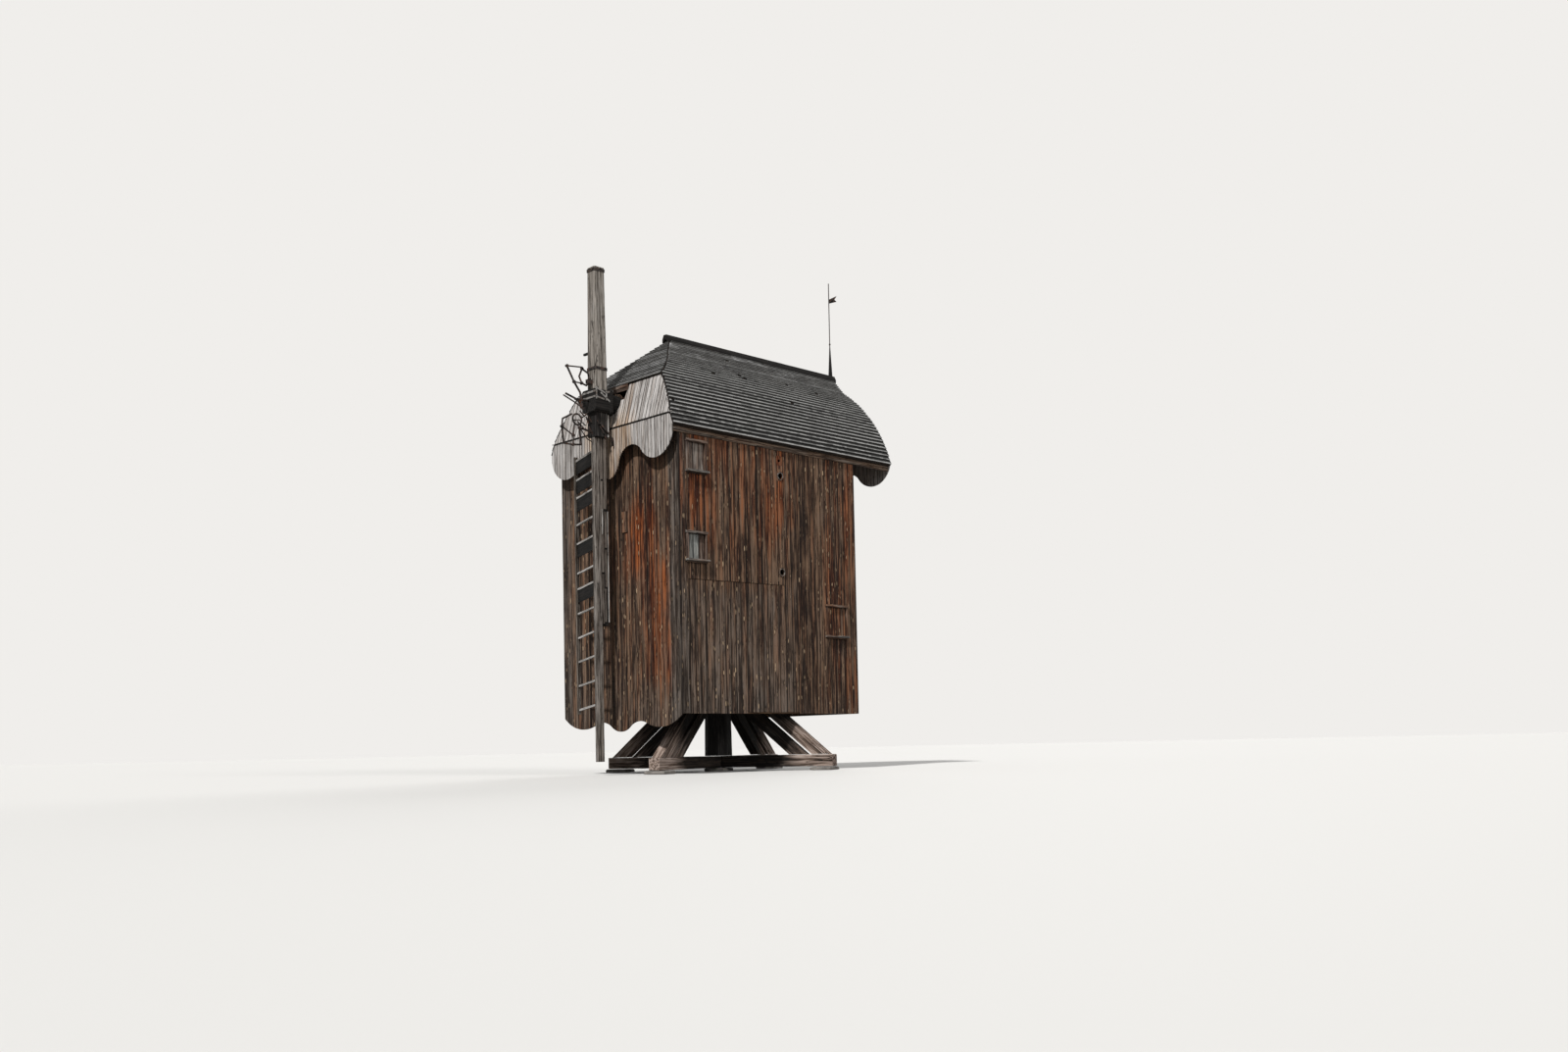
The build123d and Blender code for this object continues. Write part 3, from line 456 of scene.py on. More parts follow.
def worn_copy(pile, node, edge=0.012, wear=0.004, step=0.3, axis=None, sharp=25, **look):
    """Every solid of a CAD node, with rounded edges and a surface worn a little below the CAD's."""
    source = bmesh.new()
    add_layers(source)
    source.from_mesh(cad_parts[node].data)
    bmesh.ops.remove_doubles(source, verts=source.verts, dist=NEAR)
    bmesh.ops.dissolve_limit(source, angle_limit=math.radians(1), verts=source.verts, edges=source.edges)
    for group in islands(source):
        part = source.copy()
        part.verts.ensure_lookup_table()
        others = [vert for vert in part.verts if vert.index not in group]
        if others:
            bmesh.ops.delete(part, geom=others, context="VERTS")
        along = Vector(axis) if axis else main_axis(part)
        if edge:
            bevel(part, hard_edges(part, math.radians(sharp)), edge, 2)
        cut_across(part, along, step)
        if wear:
            wear_down(part, wear, Vector([pile.random.uniform(0, 30) for _ in range(3)]))
        pile.add(part, turn=along.rotation_difference(Vector((0, 0, 1))), **look)
    source.free()


def hard_edges(part, angle):
    """The edges where two faces meet at more than that angle."""
    return [edge for edge in part.edges if len(edge.link_faces) == 2 and edge.calc_face_angle(0) > angle]


def cut_across(part, along, step):
    """Rings of edges at every step along a solid, so that its surface can be shaped."""
    reach = [vert.co.dot(along) for vert in part.verts]
    low, high = min(reach), max(reach)
    for index in range(1, max(1, round((high - low) / step))):
        at = along * (low + index * step)
        bmesh.ops.bisect_plane(part, geom=part.verts[:] + part.edges[:] + part.faces[:],
                               plane_co=at, plane_no=along, dist=1e-4)


def wear_down(part, wear, seed):
    """Sinks the surface unevenly, by as much as the wear."""
    part.normal_update()
    moves = []
    for vert in part.verts:
        amount = 0.5 + 0.5 * noise.noise(vert.co * 3.1 + seed)
        moves.append(vert.normal * -wear * max(0.0, amount))
    for vert, move in zip(part.verts, moves):
        vert.co += move


def box_part(pile, size):
    """A block round its own middle, its edges still sharp."""
    part = pile.part()
    bmesh.ops.create_cube(part, size=1.0)
    for vert in part.verts:
        vert.co = Vector((vert.co.x * size[0], vert.co.y * size[1], vert.co.z * size[2]))
    return part


def rod_part(pile, radius, end_radius, depth, segments):
    """A round rod or a cone round its own middle, along Z."""
    part = pile.part()
    bmesh.ops.create_cone(part, cap_ends=True, segments=segments, radius1=radius, radius2=end_radius,
                          depth=depth)
    return part


def soften(part, edge):
    bevel(part, part.edges[:], edge)
    return part


def moved(matrix):
    return lambda point: matrix @ point


def nail_heads(pile, points, direction):
    """Hammered nail heads, each a low seven-sided dome."""
    turn = Vector((0, 0, 1)).rotation_difference(Vector(direction)).to_matrix().to_4x4()
    for point in points:
        head = rod_part(pile, NAIL_RADIUS, NAIL_RADIUS * 0.55, 0.004, 7)
        pile.add(head, moved(Matrix.Translation(point) @ turn))


def aim(point, along, outward):
    """A frame at a point, with Z along a line and Y outwards from it."""
    z = Vector(along).normalized()
    x = Vector(outward).cross(z).normalized()
    return Matrix.Translation(point) @ Matrix((x, z.cross(x), z)).transposed().to_4x4()


def flat_bar(pile, points, width, thickness, outward):
    """A flat strap bent at each point."""
    for a, b in zip(points, points[1:]):
        a, b = Vector(a), Vector(b)
        part = soften(box_part(pile, (width, thickness, (b - a).length + thickness)), thickness * 0.3)
        pile.add(part, moved(aim((a + b) / 2, b - a, outward)))


def round_bar(pile, points, radius):
    """A round bar with a ball at each bend."""
    for a, b in zip(points, points[1:]):
        a, b = Vector(a), Vector(b)
        part = rod_part(pile, radius, radius, (b - a).length, 10)
        pile.add(part, moved(aim((a + b) / 2, b - a, (b - a).orthogonal())))
    for point in points[1:-1]:
        part = pile.part()
        bmesh.ops.create_icosphere(part, subdivisions=2, radius=radius * 1.04)
        pile.add(part, moved(Matrix.Translation(point)))


def bolt_heads(pile, points, outward):
    """Square washers under six-sided heads."""
    side = BOLT_RADIUS * 2.6
    for point in points:
        spot = aim(point, outward, Vector(outward).orthogonal())
        pile.add(soften(box_part(pile, (side, side, 0.006)), 0.002), moved(spot))
        head = soften(rod_part(pile, BOLT_RADIUS, BOLT_RADIUS * 0.92, 0.018, 6), 0.002)
        pile.add(head, moved(spot @ Matrix.Translation((0, 0, 0.009))))


# Materials

def add_node(tree, kind, links=None, stops=None, **facts):
    """Adds a node with its settings, the values or links of its sockets, and a ramp's stops."""
    item = tree.nodes.new(kind)
    for name, value in facts.items():
        setattr(item, name, value)
    for name, value in (links or {}).items():
        if isinstance(value, bpy.types.NodeSocket):
            tree.links.new(value, item.inputs[name])
        else:
            item.inputs[name].default_value = value
    if stops:
        elements = item.color_ramp.elements
        while len(elements) < len(stops):
            elements.new(0.5)
        for element, (position, colour) in zip(elements, stops):
            element.position = position
            element.color = linear(colour)
    return item


def new_material(name):
    material = bpy.data.materials.new(name)
    material.use_nodes = True
    material.node_tree.nodes.clear()
    return material, material.node_tree


def close_material(tree, colour, roughness, height, bump_mm, metallic=0.0, sheen=0.5):
    """The shader and its bump, from a height between 0 and 1. Dry open grain throws back little sheen."""
    bump = add_node(tree, "ShaderNodeBump", {"Height": height, "Strength": 1.0, "Distance": bump_mm / 1000})
    shader = add_node(tree, "ShaderNodeBsdfPrincipled", {
        "Base Color": colour, "Roughness": roughness, "Metallic": metallic, "Specular IOR Level": sheen,
        "Normal": bump.outputs[0]})
    add_node(tree, "ShaderNodeOutputMaterial", {"Surface": shader.outputs[0]})


def total(tree, *terms, bias=0.0, clamp=True):
    """The socket of a weighted sum. A term is a socket and its weight. With two values between them, the
    socket counts as a smooth rise from 0 at the first value to 1 at the second."""
    result = bias
    for index, (value, *rise, weight) in enumerate(terms):
        if rise:
            value = add_node(tree, "ShaderNodeMapRange", {
                "Value": value, "From Min": rise[0], "From Max": rise[1]},
                interpolation_type="SMOOTHSTEP").outputs[0]
        last = index == len(terms) - 1
        result = add_node(tree, "ShaderNodeMath", {0: value, 1: weight, 2: result},
                          operation="MULTIPLY_ADD", use_clamp=clamp and last).outputs[0]
    return result


def coat(tree, under, over, cover):
    """The socket of a colour under a coat of another. The cover is a socket, or one term of a total."""
    if isinstance(cover, tuple):
        cover = total(tree, cover)
    if isinstance(over, str):
        over = linear(over)
    return add_node(tree, "ShaderNodeMix", {0: cover, 6: under, 7: over}, data_type="RGBA").outputs[2]


def grain_vector(tree, source, across_mm, along_mm, axis="Z"):
    """Coordinates in which one unit is a pattern's own width across the grain and length along it."""
    across, along = 1000 / across_mm, 1000 / along_mm
    scale = [across, across, across]
    scale["XYZ".index(axis)] = along
    return add_node(tree, "ShaderNodeMapping", {"Vector": source, "Scale": scale}).outputs[0]


def wood(name, plain, stained, greyed, streak_mm=(46, 1300), fibre_mm=(12, 340), knot="#b58d5c",
         knot_mm=(150, 520), knot_size=0.16, knots=0.8, knot_share=0.2, crack_mm=(70, 1900), cracks=0.8,
         weather=0.2, seams=0.75, spread=0.22, crisp=0.16, roughness=0.86, bump_mm=4.0, axis=None):
    """Sawn or hewn wood in three palettes of dark, middle and light: plain, stained and greyed.
    Streaks, fibres, cracks and knots follow the grain of each board, or one axis of the piece."""
    material, tree = new_material(name)
    if axis:
        source = add_node(tree, "ShaderNodeTexCoord").outputs["Object"]
    else:
        source = add_node(tree, "ShaderNodeAttribute", attribute_name="grain").outputs["Vector"]
    mood = add_node(tree, "ShaderNodeAttribute", attribute_name="mood")
    tone, heat, age = add_node(tree, "ShaderNodeSeparateXYZ", {0: mood.outputs["Vector"]}).outputs

    def pattern(size, detail, rough=0.55):
        vector = grain_vector(tree, source, size[0], size[1], axis or "Z")
        return add_node(tree, "ShaderNodeTexNoise", {
            "Vector": vector, "Scale": 1.0, "Detail": detail, "Roughness": rough}).outputs[0]

    streaks = pattern(streak_mm, 3.0, 0.6)
    wide = pattern((streak_mm[0] * 3.4, streak_mm[1] * 1.6), 2.0)
    fibres = pattern(fibre_mm, 3.0, 0.65)
    patches = pattern((700, 700), 3.0)
    value = total(tree, (streaks, 0.5 - crisp, 0.5 + crisp, 0.56),
                  (fibres, 0.5 - crisp, 0.5 + crisp, 0.44 - spread / 2), (tone, spread))

    def palette(colours):
        return add_node(tree, "ShaderNodeValToRGB", {0: value},
                        stops=list(zip((0.16, 0.46, 0.84), colours))).outputs[0]

    heated = total(tree, (heat, 1.25), (wide, 0.36, 0.64, 0.55), bias=-0.55)
    aged = total(tree, (age, 1.2), (patches, 0.42, 0.68, weather), (wide, 0.60, 0.40, 0.4), bias=-0.4)
    colour = coat(tree, palette(plain), palette(stained), heated)
    colour = coat(tree, colour, palette(greyed), aged)

    # Knots: a share of the cells has one, with a dark ring round it, and they differ in strength.
    cells = add_node(tree, "ShaderNodeTexVoronoi", {
        "Vector": grain_vector(tree, source, knot_mm[0], knot_mm[1], axis or "Z"), "Scale": 1.0,
        "Randomness": 1.0})
    chance = add_node(tree, "ShaderNodeSeparateXYZ", {0: cells.outputs["Color"]}).outputs["X"]
    edge = 1 - knot_share
    spots = total(tree, (cells.outputs["Distance"], 1.0), (fibres, 0.6),
                  (chance, edge + 0.02, edge - 0.02, 1.0), bias=-0.30, clamp=False)
    colour = coat(tree, colour, plain[0], (spots, knot_size * 1.8, knot_size * 1.1, knots * 0.5))
    strength = total(tree, (chance, edge, 1.0, 0.7 * knots), bias=0.3 * knots)
    colour = coat(tree, colour, knot, (spots, knot_size, knot_size * 0.5, strength))

    if not axis:
        rim = add_node(tree, "ShaderNodeAttribute", attribute_name="rim").outputs["Fac"]
        ragged = total(tree, (rim, 1.0), (fibres, 0.35), bias=-0.17)
        colour = coat(tree, colour, "#0e0b09", (ragged, 0.66, 0.96, seams))
    split = total(tree, (pattern(crack_mm, 2.0, 0.4), 1.0), bias=-0.5, clamp=False)
    width = add_node(tree, "ShaderNodeMath", {0: split}, operation="ABSOLUTE").outputs[0]
    crack = total(tree, (width, 0.012, 0.003, cracks))
    colour = coat(tree, colour, "#0b0806", crack)
    height = total(tree, (fibres, 0.5), (streaks, 0.6), (crack, -0.6))
    smoothest, roughest = roughness - 0.08, min(1.0, roughness + 0.1)
    rough = total(tree, (streaks, 0.3, 0.7, roughest - smoothest), bias=smoothest)
    close_material(tree, colour, rough, height, bump_mm, sheen=0.15)
    return material


def wall_boards():
    # Tarred pine boards, bleached by the sun: dark brown, rusty where the tar has gone, pale at the knots.
    return wood(
        "tarred_pine_boards",
        plain=("#150c08", "#3a2a21", "#7f6551"), stained=("#240c05", "#552410", "#a05c34"),
        greyed=("#271f1a", "#463d36", "#726860"), streak_mm=(46, 1300), fibre_mm=(19, 380), knot="#cdb08f",
        knot_mm=(62, 280), knot_size=0.26, knot_share=0.36, knots=1.0, seams=0.7, spread=0.3, crisp=0.10)


def skirt_boards():
    # Larch weathered to silver: pale cool grey with dark joints, and brown traces of the fresh wood.
    return wood(
        "silvered_larch_boards",
        plain=("#716a65", "#aca6a1", "#d6d1cd"), stained=("#584231", "#9d8169", "#cfbaa4"),
        greyed=("#7d7976", "#b4b1ae", "#dad8d5"), streak_mm=(42, 1100), fibre_mm=(16, 340), knot="#3a2c22",
        knot_size=0.2, knot_mm=(90, 150), knot_share=0.10, knots=0.85, cracks=0.6, weather=0.15,
        bump_mm=3.0, seams=0.85, crisp=0.15)


def arm_timber():
    # Oak left bare for decades: ash grey, with deep checks and small nail holes; its root is black with tar.
    return wood(
        "bleached_oak_timber",
        plain=("#38332e", "#736c64", "#a39b92"), stained=("#0b0a09", "#1b1918", "#383432"),
        greyed=("#46423e", "#7f7b77", "#aeaaa5"), streak_mm=(44, 1500), knot="#241d18", knot_size=0.22,
        knot_mm=(60, 140), knot_share=0.16, knots=0.85, cracks=0.95, crack_mm=(90, 2200), weather=0.3,
        bump_mm=7.0, crisp=0.13)


def frame_timber():
    # Rough pine in the weather: grey brown, darker where rain stands.
    return wood(
        "weathered_pine_timber",
        plain=("#26201b", "#544c45", "#857c73"), stained=("#3b2a20", "#69503e", "#937a66"),
        greyed=("#3d3833", "#77706a", "#a9a29b"), streak_mm=(34, 900), knot="#1d1713", cracks=0.9,
        crack_mm=(60, 1500), bump_mm=6.0, crisp=0.13)


def bare_laths():
    # Thin pine laths with no tar left on them: nearly white in the sun.
    return wood(
        "bleached_pine_laths",
        plain=("#6f6a65", "#a29d97", "#cdc9c4"), stained=("#5d5045", "#8f7f70", "#bcae9f"),
        greyed=("#7f7b77", "#b1ada9", "#d6d3cf"), streak_mm=(30, 700), knot="#3a302a", knot_share=0.1,
        cracks=0.9, crack_mm=(60, 1200))


def trestle_timber():
    # Hewn oak: pinkish grey where sun and rain reach; its nearly black stained palette paints the shade under
    # the house.
    return wood(
        "hewn_oak_timber",
        plain=("#3a2f28", "#7a685c", "#b3a196"), stained=("#080706", "#191512", "#38302a"),
        greyed=("#4a4541", "#827a74", "#b0a8a1"), streak_mm=(60, 1400), knot="#231b16", cracks=0.95,
        crack_mm=(120, 1900), bump_mm=9.0, crisp=0.13)


def tarred_timber():
    # Oak soaked with grease and old tar: almost black, and dull.
    return wood(
        "tarred_oak_timber",
        plain=("#070606", "#131211", "#2b2826"), stained=("#160d08", "#33211a", "#5a4034"),
        greyed=("#151413", "#2c2a29", "#4b4846"), streak_mm=(34, 800), knot="#3a322c", knot_share=0.05,
        weather=0.1, roughness=0.8, bump_mm=5.0)


def inner_timber(axis):
    # Pine kept dry indoors: plain brown, hardly weathered.
    return wood(
        "indoor_pine_" + axis.lower(),
        plain=("#38291f", "#5d4837", "#80684f"), stained=("#3f2b1e", "#6a4c34", "#8c6c4c"),
        greyed=("#3a332c", "#5d544b", "#7d7368"), weather=0.1, axis=axis)


def painted_shade_boarding(axis):
    # Old pine under the shingles, painted near black: the shade in the gaps between the shingles and along
    # the hip.
    return wood(
        "painted_shade_pine_" + axis.lower(),
        plain=("#0d0a08", "#1d1713", "#332a23"), stained=("#120c08", "#271b14", "#3d2d22"),
        greyed=("#12100e", "#24211e", "#3b3733"), weather=0.1, axis=axis)


def hatch_wood():
    # Pine hatches in the weather: brown grey, paler than the tarred walls.
    return wood(
        "weathered_hatch_boards",
        plain=("#2f241e", "#5a4b43", "#84756a"), stained=("#3a2418", "#5e3b27", "#866044"),
        greyed=("#4a4b4a", "#787a77", "#a6a7a1"), streak_mm=(40, 600), knot="#241b16", knot_share=0.1,
        bump_mm=2.5, crisp=0.12)


def shingle_wood():
    # Split spruce shingles gone grey: butts bleached pale, the rest dark with moss and with painted shade up
    # to the next course.
    material, tree = new_material("grey_spruce_shingles")
    grain = add_node(tree, "ShaderNodeAttribute", attribute_name="grain").outputs["Vector"]
    mood = add_node(tree, "ShaderNodeAttribute", attribute_name="mood")
    tone, worn, lap = add_node(tree, "ShaderNodeSeparateXYZ", {0: mood.outputs["Vector"]}).outputs
    place = add_node(tree, "ShaderNodeTexCoord").outputs["Object"]

    def pattern(vector, scale):
        return add_node(tree, "ShaderNodeTexNoise", {
            "Vector": vector, "Scale": scale, "Detail": 4.0, "Roughness": 0.6}).outputs[0]

    fibres = pattern(grain_vector(tree, grain, 14, 220), 1.0)
    patches = pattern(place, 1000 / 900)
    scuffs = pattern(place, 1000 / 160)
    # The ramp up each shingle keeps the butt pale and paints the shade under the next course's butt.
    reach = total(tree, (lap, 1.0), (fibres, 0.16), (tone, 0.05), bias=-0.10)
    colour = add_node(tree, "ShaderNodeValToRGB", {0: reach}, stops=[
        (0.12, "#a9a8a5"), (0.22, "#8d8c89"), (0.29, "#32312f"), (0.42, "#1a1918"),
        (0.70, "#0d0c0c")]).outputs[0]
    height = add_node(tree, "ShaderNodeSeparateXYZ", {0: place}).outputs["Z"]
    colour = coat(tree, colour, "#52504d", (height, 10.6, 11.3, 0.42))
    colour = coat(tree, colour, "#31302f", (patches, 0.42, 0.66, 0.3))
    colour = coat(tree, colour, "#1f1e1d", (tone, 0.45, 0.95, 0.5))
    colour = coat(tree, colour, "#b9b8b7", total(tree, (worn, 1.3), (scuffs, 1.4), bias=-0.95))
    colour = coat(tree, colour, "#262524", (fibres, 0.54, 0.72, 0.5))
    close_material(tree, colour, 0.9, fibres, 3.0, sheen=0.15)
    return material


def blots(tree, size_mm, detail):
    """Uneven blots of a real size, fixed to the piece."""
    place = add_node(tree, "ShaderNodeTexCoord").outputs["Object"]
    return add_node(tree, "ShaderNodeTexNoise", {
        "Vector": place, "Scale": 1000 / size_mm, "Detail": detail}).outputs[0]


def rusty_iron():
    # Wrought iron: black forge scale with dark rust blooming through it, dull all over.
    material, tree = new_material("rusted_wrought_iron")
    bloom = blots(tree, 70, 5.0)
    pits = blots(tree, 9, 3.0)
    colour = add_node(tree, "ShaderNodeValToRGB", {0: bloom}, stops=[
        (0.34, "#12100f"), (0.50, "#211915"), (0.62, "#3c261b"), (0.76, "#5c3822")]).outputs[0]
    colour = coat(tree, colour, "#0b0908", (pits, 0.5, 0.7, 0.7))
    rough = total(tree, (bloom, 0.3, 0.7, 0.37), bias=0.55)
    close_material(tree, colour, rough, pits, 2.0, metallic=total(tree, (bloom, 0.50, 0.38, 1.0)))
    return material


def bright_iron():
    # Flat iron straps washed by the rain: light grey with brown stains.
    material, tree = new_material("galvanised_strap_iron")
    stains = blots(tree, 110, 4.0)
    colour = add_node(tree, "ShaderNodeValToRGB", {0: stains}, stops=[
        (0.36, "#989592"), (0.52, "#86827e"), (0.70, "#5c4e44")]).outputs[0]
    rough = total(tree, (stains, 0.3, 0.7, 0.25), bias=0.6)
    close_material(tree, colour, rough, stains, 1.0, metallic=total(tree, (stains, 0.66, 0.50, 0.5)))
    return material


def field_stone():
    # Split granite: grey and cloudy, with dark grains.
    material, tree = new_material("split_granite")
    place = add_node(tree, "ShaderNodeTexCoord").outputs["Object"]
    cells = add_node(tree, "ShaderNodeTexVoronoi", {"Vector": place, "Scale": 1000 / 14})
    clouds = blots(tree, 180, 5.0)
    colour = add_node(tree, "ShaderNodeValToRGB", {0: clouds}, stops=[
        (0.3, "#5f5b56"), (0.5, "#7b7670"), (0.7, "#97918a")]).outputs[0]
    colour = coat(tree, colour, "#3a3633", (cells.outputs["Distance"], 0.25, 0.1, 0.6))
    close_material(tree, colour, 0.9, clouds, 12.0)
    return material


MATERIALS = {}


def material(maker, *facts):
    """Each material is made once."""
    key = (maker.__name__, *facts)
    if key not in MATERIALS:
        MATERIALS[key] = maker(*facts)
    return MATERIALS[key]


def worn_piece(seed, node, name, maker, body, slot, **cut):
    """The worn copy of one CAD node, as a piece that stands in for it."""
    pile = Pile(seed)
    worn_copy(pile, node, **cut)
    pile.finish(name, material(maker), body, [node], slot)


# Walls

def front_place(point):
    return Vector((point.x, FRONT_INNER_Y - point.y, point.z))


def rear_place(point):
    return Vector((point.x, REAR_LOW.y + point.y, point.z))


def side_place(side):
    return lambda point: Vector((side * (WALL_INNER + point.y), point.x, point.z))


def side_word(side):
    return "right" if side > 0 else "left"


def streak_noise(point, size):
    """Upright streaks of that width, some 3 m long."""
    return 0.5 + 0.5 * noise.noise(Vector((point.x / size, point.y / size, point.z / 3.0)))


def fade(value, low, high):
    """0 below low, 1 above high and a smooth rise between."""
    t = min(1.0, max(0.0, (value - low) / (high - low)))
    return t * t * (3 - 2 * t)


def zone(value, start, full, ebb, end):
    """0 up to the start, 1 from full to ebb, and 0 again past the end."""
    return fade(value, start, full) * (1 - fade(value, ebb, end))


def level(z):
    """The foot or head of a board cut square at one height."""
    return lambda x: z


def under_roof(top, inset, drop):
    """The head of a board that ends under the roof, and no higher than the top."""
    return lambda x: min(top, roof_height(abs(x) + inset) - drop)


def front_warm(point):
    """Rusty streaks right of the sails: across the middle of the wall, and out to the corner lower down."""
    middle = zone(point.x, 0.1, 0.5, 1.5, 1.9) * zone(point.z, 4.6, 5.4, 6.4, 7.8)
    low = zone(point.x, 0.8, 1.2, 2.1, 2.25) * zone(point.z, 1.8, 2.6, 5.0, 6.2)
    return min(1.0, 1.12 * max(middle, low) * streak_noise(point, 0.35) + 0.14)


def front_grey(point):
    """Bleached at the corners, and a little above the hem."""
    corner = fade(abs(point.x), 2.02, 2.18) * 0.75
    low = 0.25 * (1 - fade(point.z, 1.6, 2.8))
    return corner + low + 0.12


def side_warm(point):
    """Rusty high up in the front half, and less so at the rear."""
    high = fade(point.z, 4.9, 7.0)
    front = 1 - fade(point.y, 0.0, 1.2)
    back = 0.34 * fade(point.y, 1.5, 2.1)
    return min(1.0, (0.55 * high * front + back + 0.12) * streak_noise(point, 0.22) * 1.5)


def side_grey(point):
    """Bleached below the long joint, at the front corner and at the foot."""
    low = 0.42 * (1 - fade(point.z, 4.6, 5.1)) * (1 - fade(point.y, 0.2, 1.4))
    corner = 0.4 * (1 - fade(point.y, -3.3, -3.1))
    foot = 0.15 * (1 - fade(point.z, 1.6, 2.6))
    return low + corner + foot + 0.08


NAIL_ROWS = (1.62, 3.36, 4.92, 7.24, 8.72)


def nail_rows(name, boards, spans, place):
    """Two nails to a board wherever it crosses a sill, a girt, a floor or the plate."""
    pile = Pile(len(name))
    depth = settings().board_depth + 0.003
    outward = place(Vector((0, 1, 0))) - place(Vector((0, 0, 0)))
    for x0, x1 in boards:
        middle = (x0 + x1) / 2
        for low, high, *back in spans(x0, x1):
            for row in NAIL_ROWS:
                if not low(middle) + 0.05 < row < high(middle) - 0.05:
                    continue
                points = []
                for share in (0.27, 0.73):
                    z = row + pile.random.uniform(-0.012, 0.012)
                    x = x0 + (x1 - x0) * share + pile.random.uniform(-0.008, 0.008)
                    points.append(place(Vector((x, depth - sum(back), z))))
                nail_heads(pile, points, outward)
    pile.finish(name, material(rusty_iron), "house", (), "iron")


def wall_run(pile, boards, spans, place, warm, grey):
    """Boards between their joints, each cut to the spans that the openings leave."""
    facts = settings()
    for x0, x1 in boards:
        tone = pile.random.random()
        stand = facts.board_depth + pile.random.uniform(-0.006, 0.006)
        a, b = x0 + facts.board_gap / 2, x1 - facts.board_gap / 2
        columns = max(3, round((b - a) / BOARD_COLUMN))
        for low, high, *back in spans(x0, x1):
            plank(pile, a, b, low, high, stand - sum(back), place, columns=columns,
                  lap=facts.board_gap / 2 + 0.0005, tone=tone, warm=warm, grey=grey)


def build_front_wall():
    """Boards from the wavy hem up to the hip, with a round way for the shaft and one patch nailed on."""
    pile = Pile(11)
    boards = board_edges(pile.random, -SIDE_X, SIDE_X, settings().board_width, forced=(-0.3, 0.3))
    head = under_roof(HIP_INSIDE, 0.03, 0.09)

    def half_way(x):
        return math.sqrt(max(SHAFT_WAY ** 2 - x * x, 0.0))

    def spans(x0, x1):
        inner, outer = sorted((abs(x0), abs(x1)))
        if outer <= SHAFT_WAY + 0.02 and inner < SHAFT_WAY:
            return [(HEM, lambda x: SHAFT_Z - half_way(x)), (lambda x: SHAFT_Z + half_way(x), head)]
        return [(HEM, head)]

    wall_run(pile, boards, spans, front_place, front_warm, front_grey)
    x0, x1, foot, top = FRONT_PATCH
    plank(pile, x0, x1, level(foot), level(top), 0.062, front_place, tone=0.8, warm=0.2, grey=0.3)
    pile.finish("front_boards", material(wall_boards), "house", ["front_wall"], "brown_boards")
    nail_rows("front_nails", boards, spans, front_place)


def side_spans(side, x0, x1):
    """The upright runs of a side wall's board, past the hatches and across the long joint. Each run has
    its foot, its head and how far it stands back."""
    middle = (x0 + x1) / 2
    start = WALL_FOOT
    if SHORT_FEET[0] < middle < SHORT_FEET[1]:
        start += SHORT_BY
    start += 0.004 * math.sin(x0 * 7.0)
    cuts = []
    for y, z, width, height in HATCHES:
        if x1 > y - width / 2 + 0.01 and x0 < y + width / 2 - 0.01:
            cuts.append((z - height / 2, z + height / 2))
    if side > 0:
        if x0 > VENT_BOARD[0] - 0.01 and x1 < VENT_BOARD[1] + 0.01:
            cuts += [(z - VENT_PLATE, z + VENT_PLATE) for _, z, _ in VENT_HOLES]
        if LONG_JOINT[0] < middle < LONG_JOINT[1]:
            joint = LONG_JOINT_POINT[1] + LONG_JOINT_RISE * (x0 - LONG_JOINT_POINT[0])
            cuts.append((joint - LONG_JOINT_WIDTH / 2, joint + LONG_JOINT_WIDTH / 2))
    runs = []
    for low, high in sorted(cuts):
        if low > start + SHORTEST_RUN:
            runs.append((start, low))
        start = max(start, high)
    runs.append((start, EAVE_Z + 0.02))
    return [(level(a), level(b), LEDGE if side > 0 and b < LEDGE_Z else 0.0) for a, b in runs]


def build_side_wall(side):
    """Boards between the corners, parted at the hatches and, on the right, at the vent board."""
    word = side_word(side)
    pile = Pile(21 if side > 0 else 22)
    forced = [*VENT_BOARD] if side > 0 else []
    for y, z, width, height in HATCHES:
        forced += [y - width / 2, y + width / 2]
    boards = board_edges(pile.random, FRONT_INNER_Y, REAR_LOW.y, settings().board_width, forced=forced)
    place = side_place(side)

    def spans(x0, x1):
        return side_spans(side, x0, x1)

    wall_run(pile, boards, spans, place, side_warm, side_grey)
    if side > 0:
        for y, z, radius in VENT_HOLES:
            vent_plate(pile, y, z, radius, place)
    pile.finish(word + "_boards", material(wall_boards), "house", ["side_wall_" + word], "brown_boards")
    nail_rows("right_wall_nails" if side > 0 else "left_nails", boards, spans, place)


def vent_plate(pile, y, z, radius, place):
    """A length of board with a round hole through it."""
    facts = settings()
    part = pile.part()
    bmesh.ops.create_circle(part, cap_ends=False, segments=24, radius=radius)
    outer = bmesh.ops.create_circle(part, cap_ends=False, segments=24, radius=1.0)["verts"]
    x0, x1 = VENT_BOARD[0] + facts.board_gap / 2, VENT_BOARD[1] - facts.board_gap / 2
    for vert in outer:
        square = vert.co / max(abs(vert.co.x), abs(vert.co.y))
        vert.co = Vector(((x0 + x1) / 2 - y + square.x * (x1 - x0) / 2, square.y * VENT_PLATE, 0.0))
    bmesh.ops.bridge_loops(part, edges=part.edges[:])
    thicken(part, (0, 0, facts.board_depth))
    for vert in part.verts:
        vert.co = Vector((vert.co.x + y, vert.co.z, vert.co.y + z))
    pile.add(part, place, tone=0.55, warm=side_warm, grey=side_grey)


def rear_warm(point):
    return 0.35 * streak_noise(point, 0.3)


def rear_grey(point):
    """Bleached at the corners and towards the foot."""
    return 0.2 + 0.3 * (1 - fade(point.z, 2.0, 4.0)) + 0.4 * fade(abs(point.x), 2.1, 2.25)


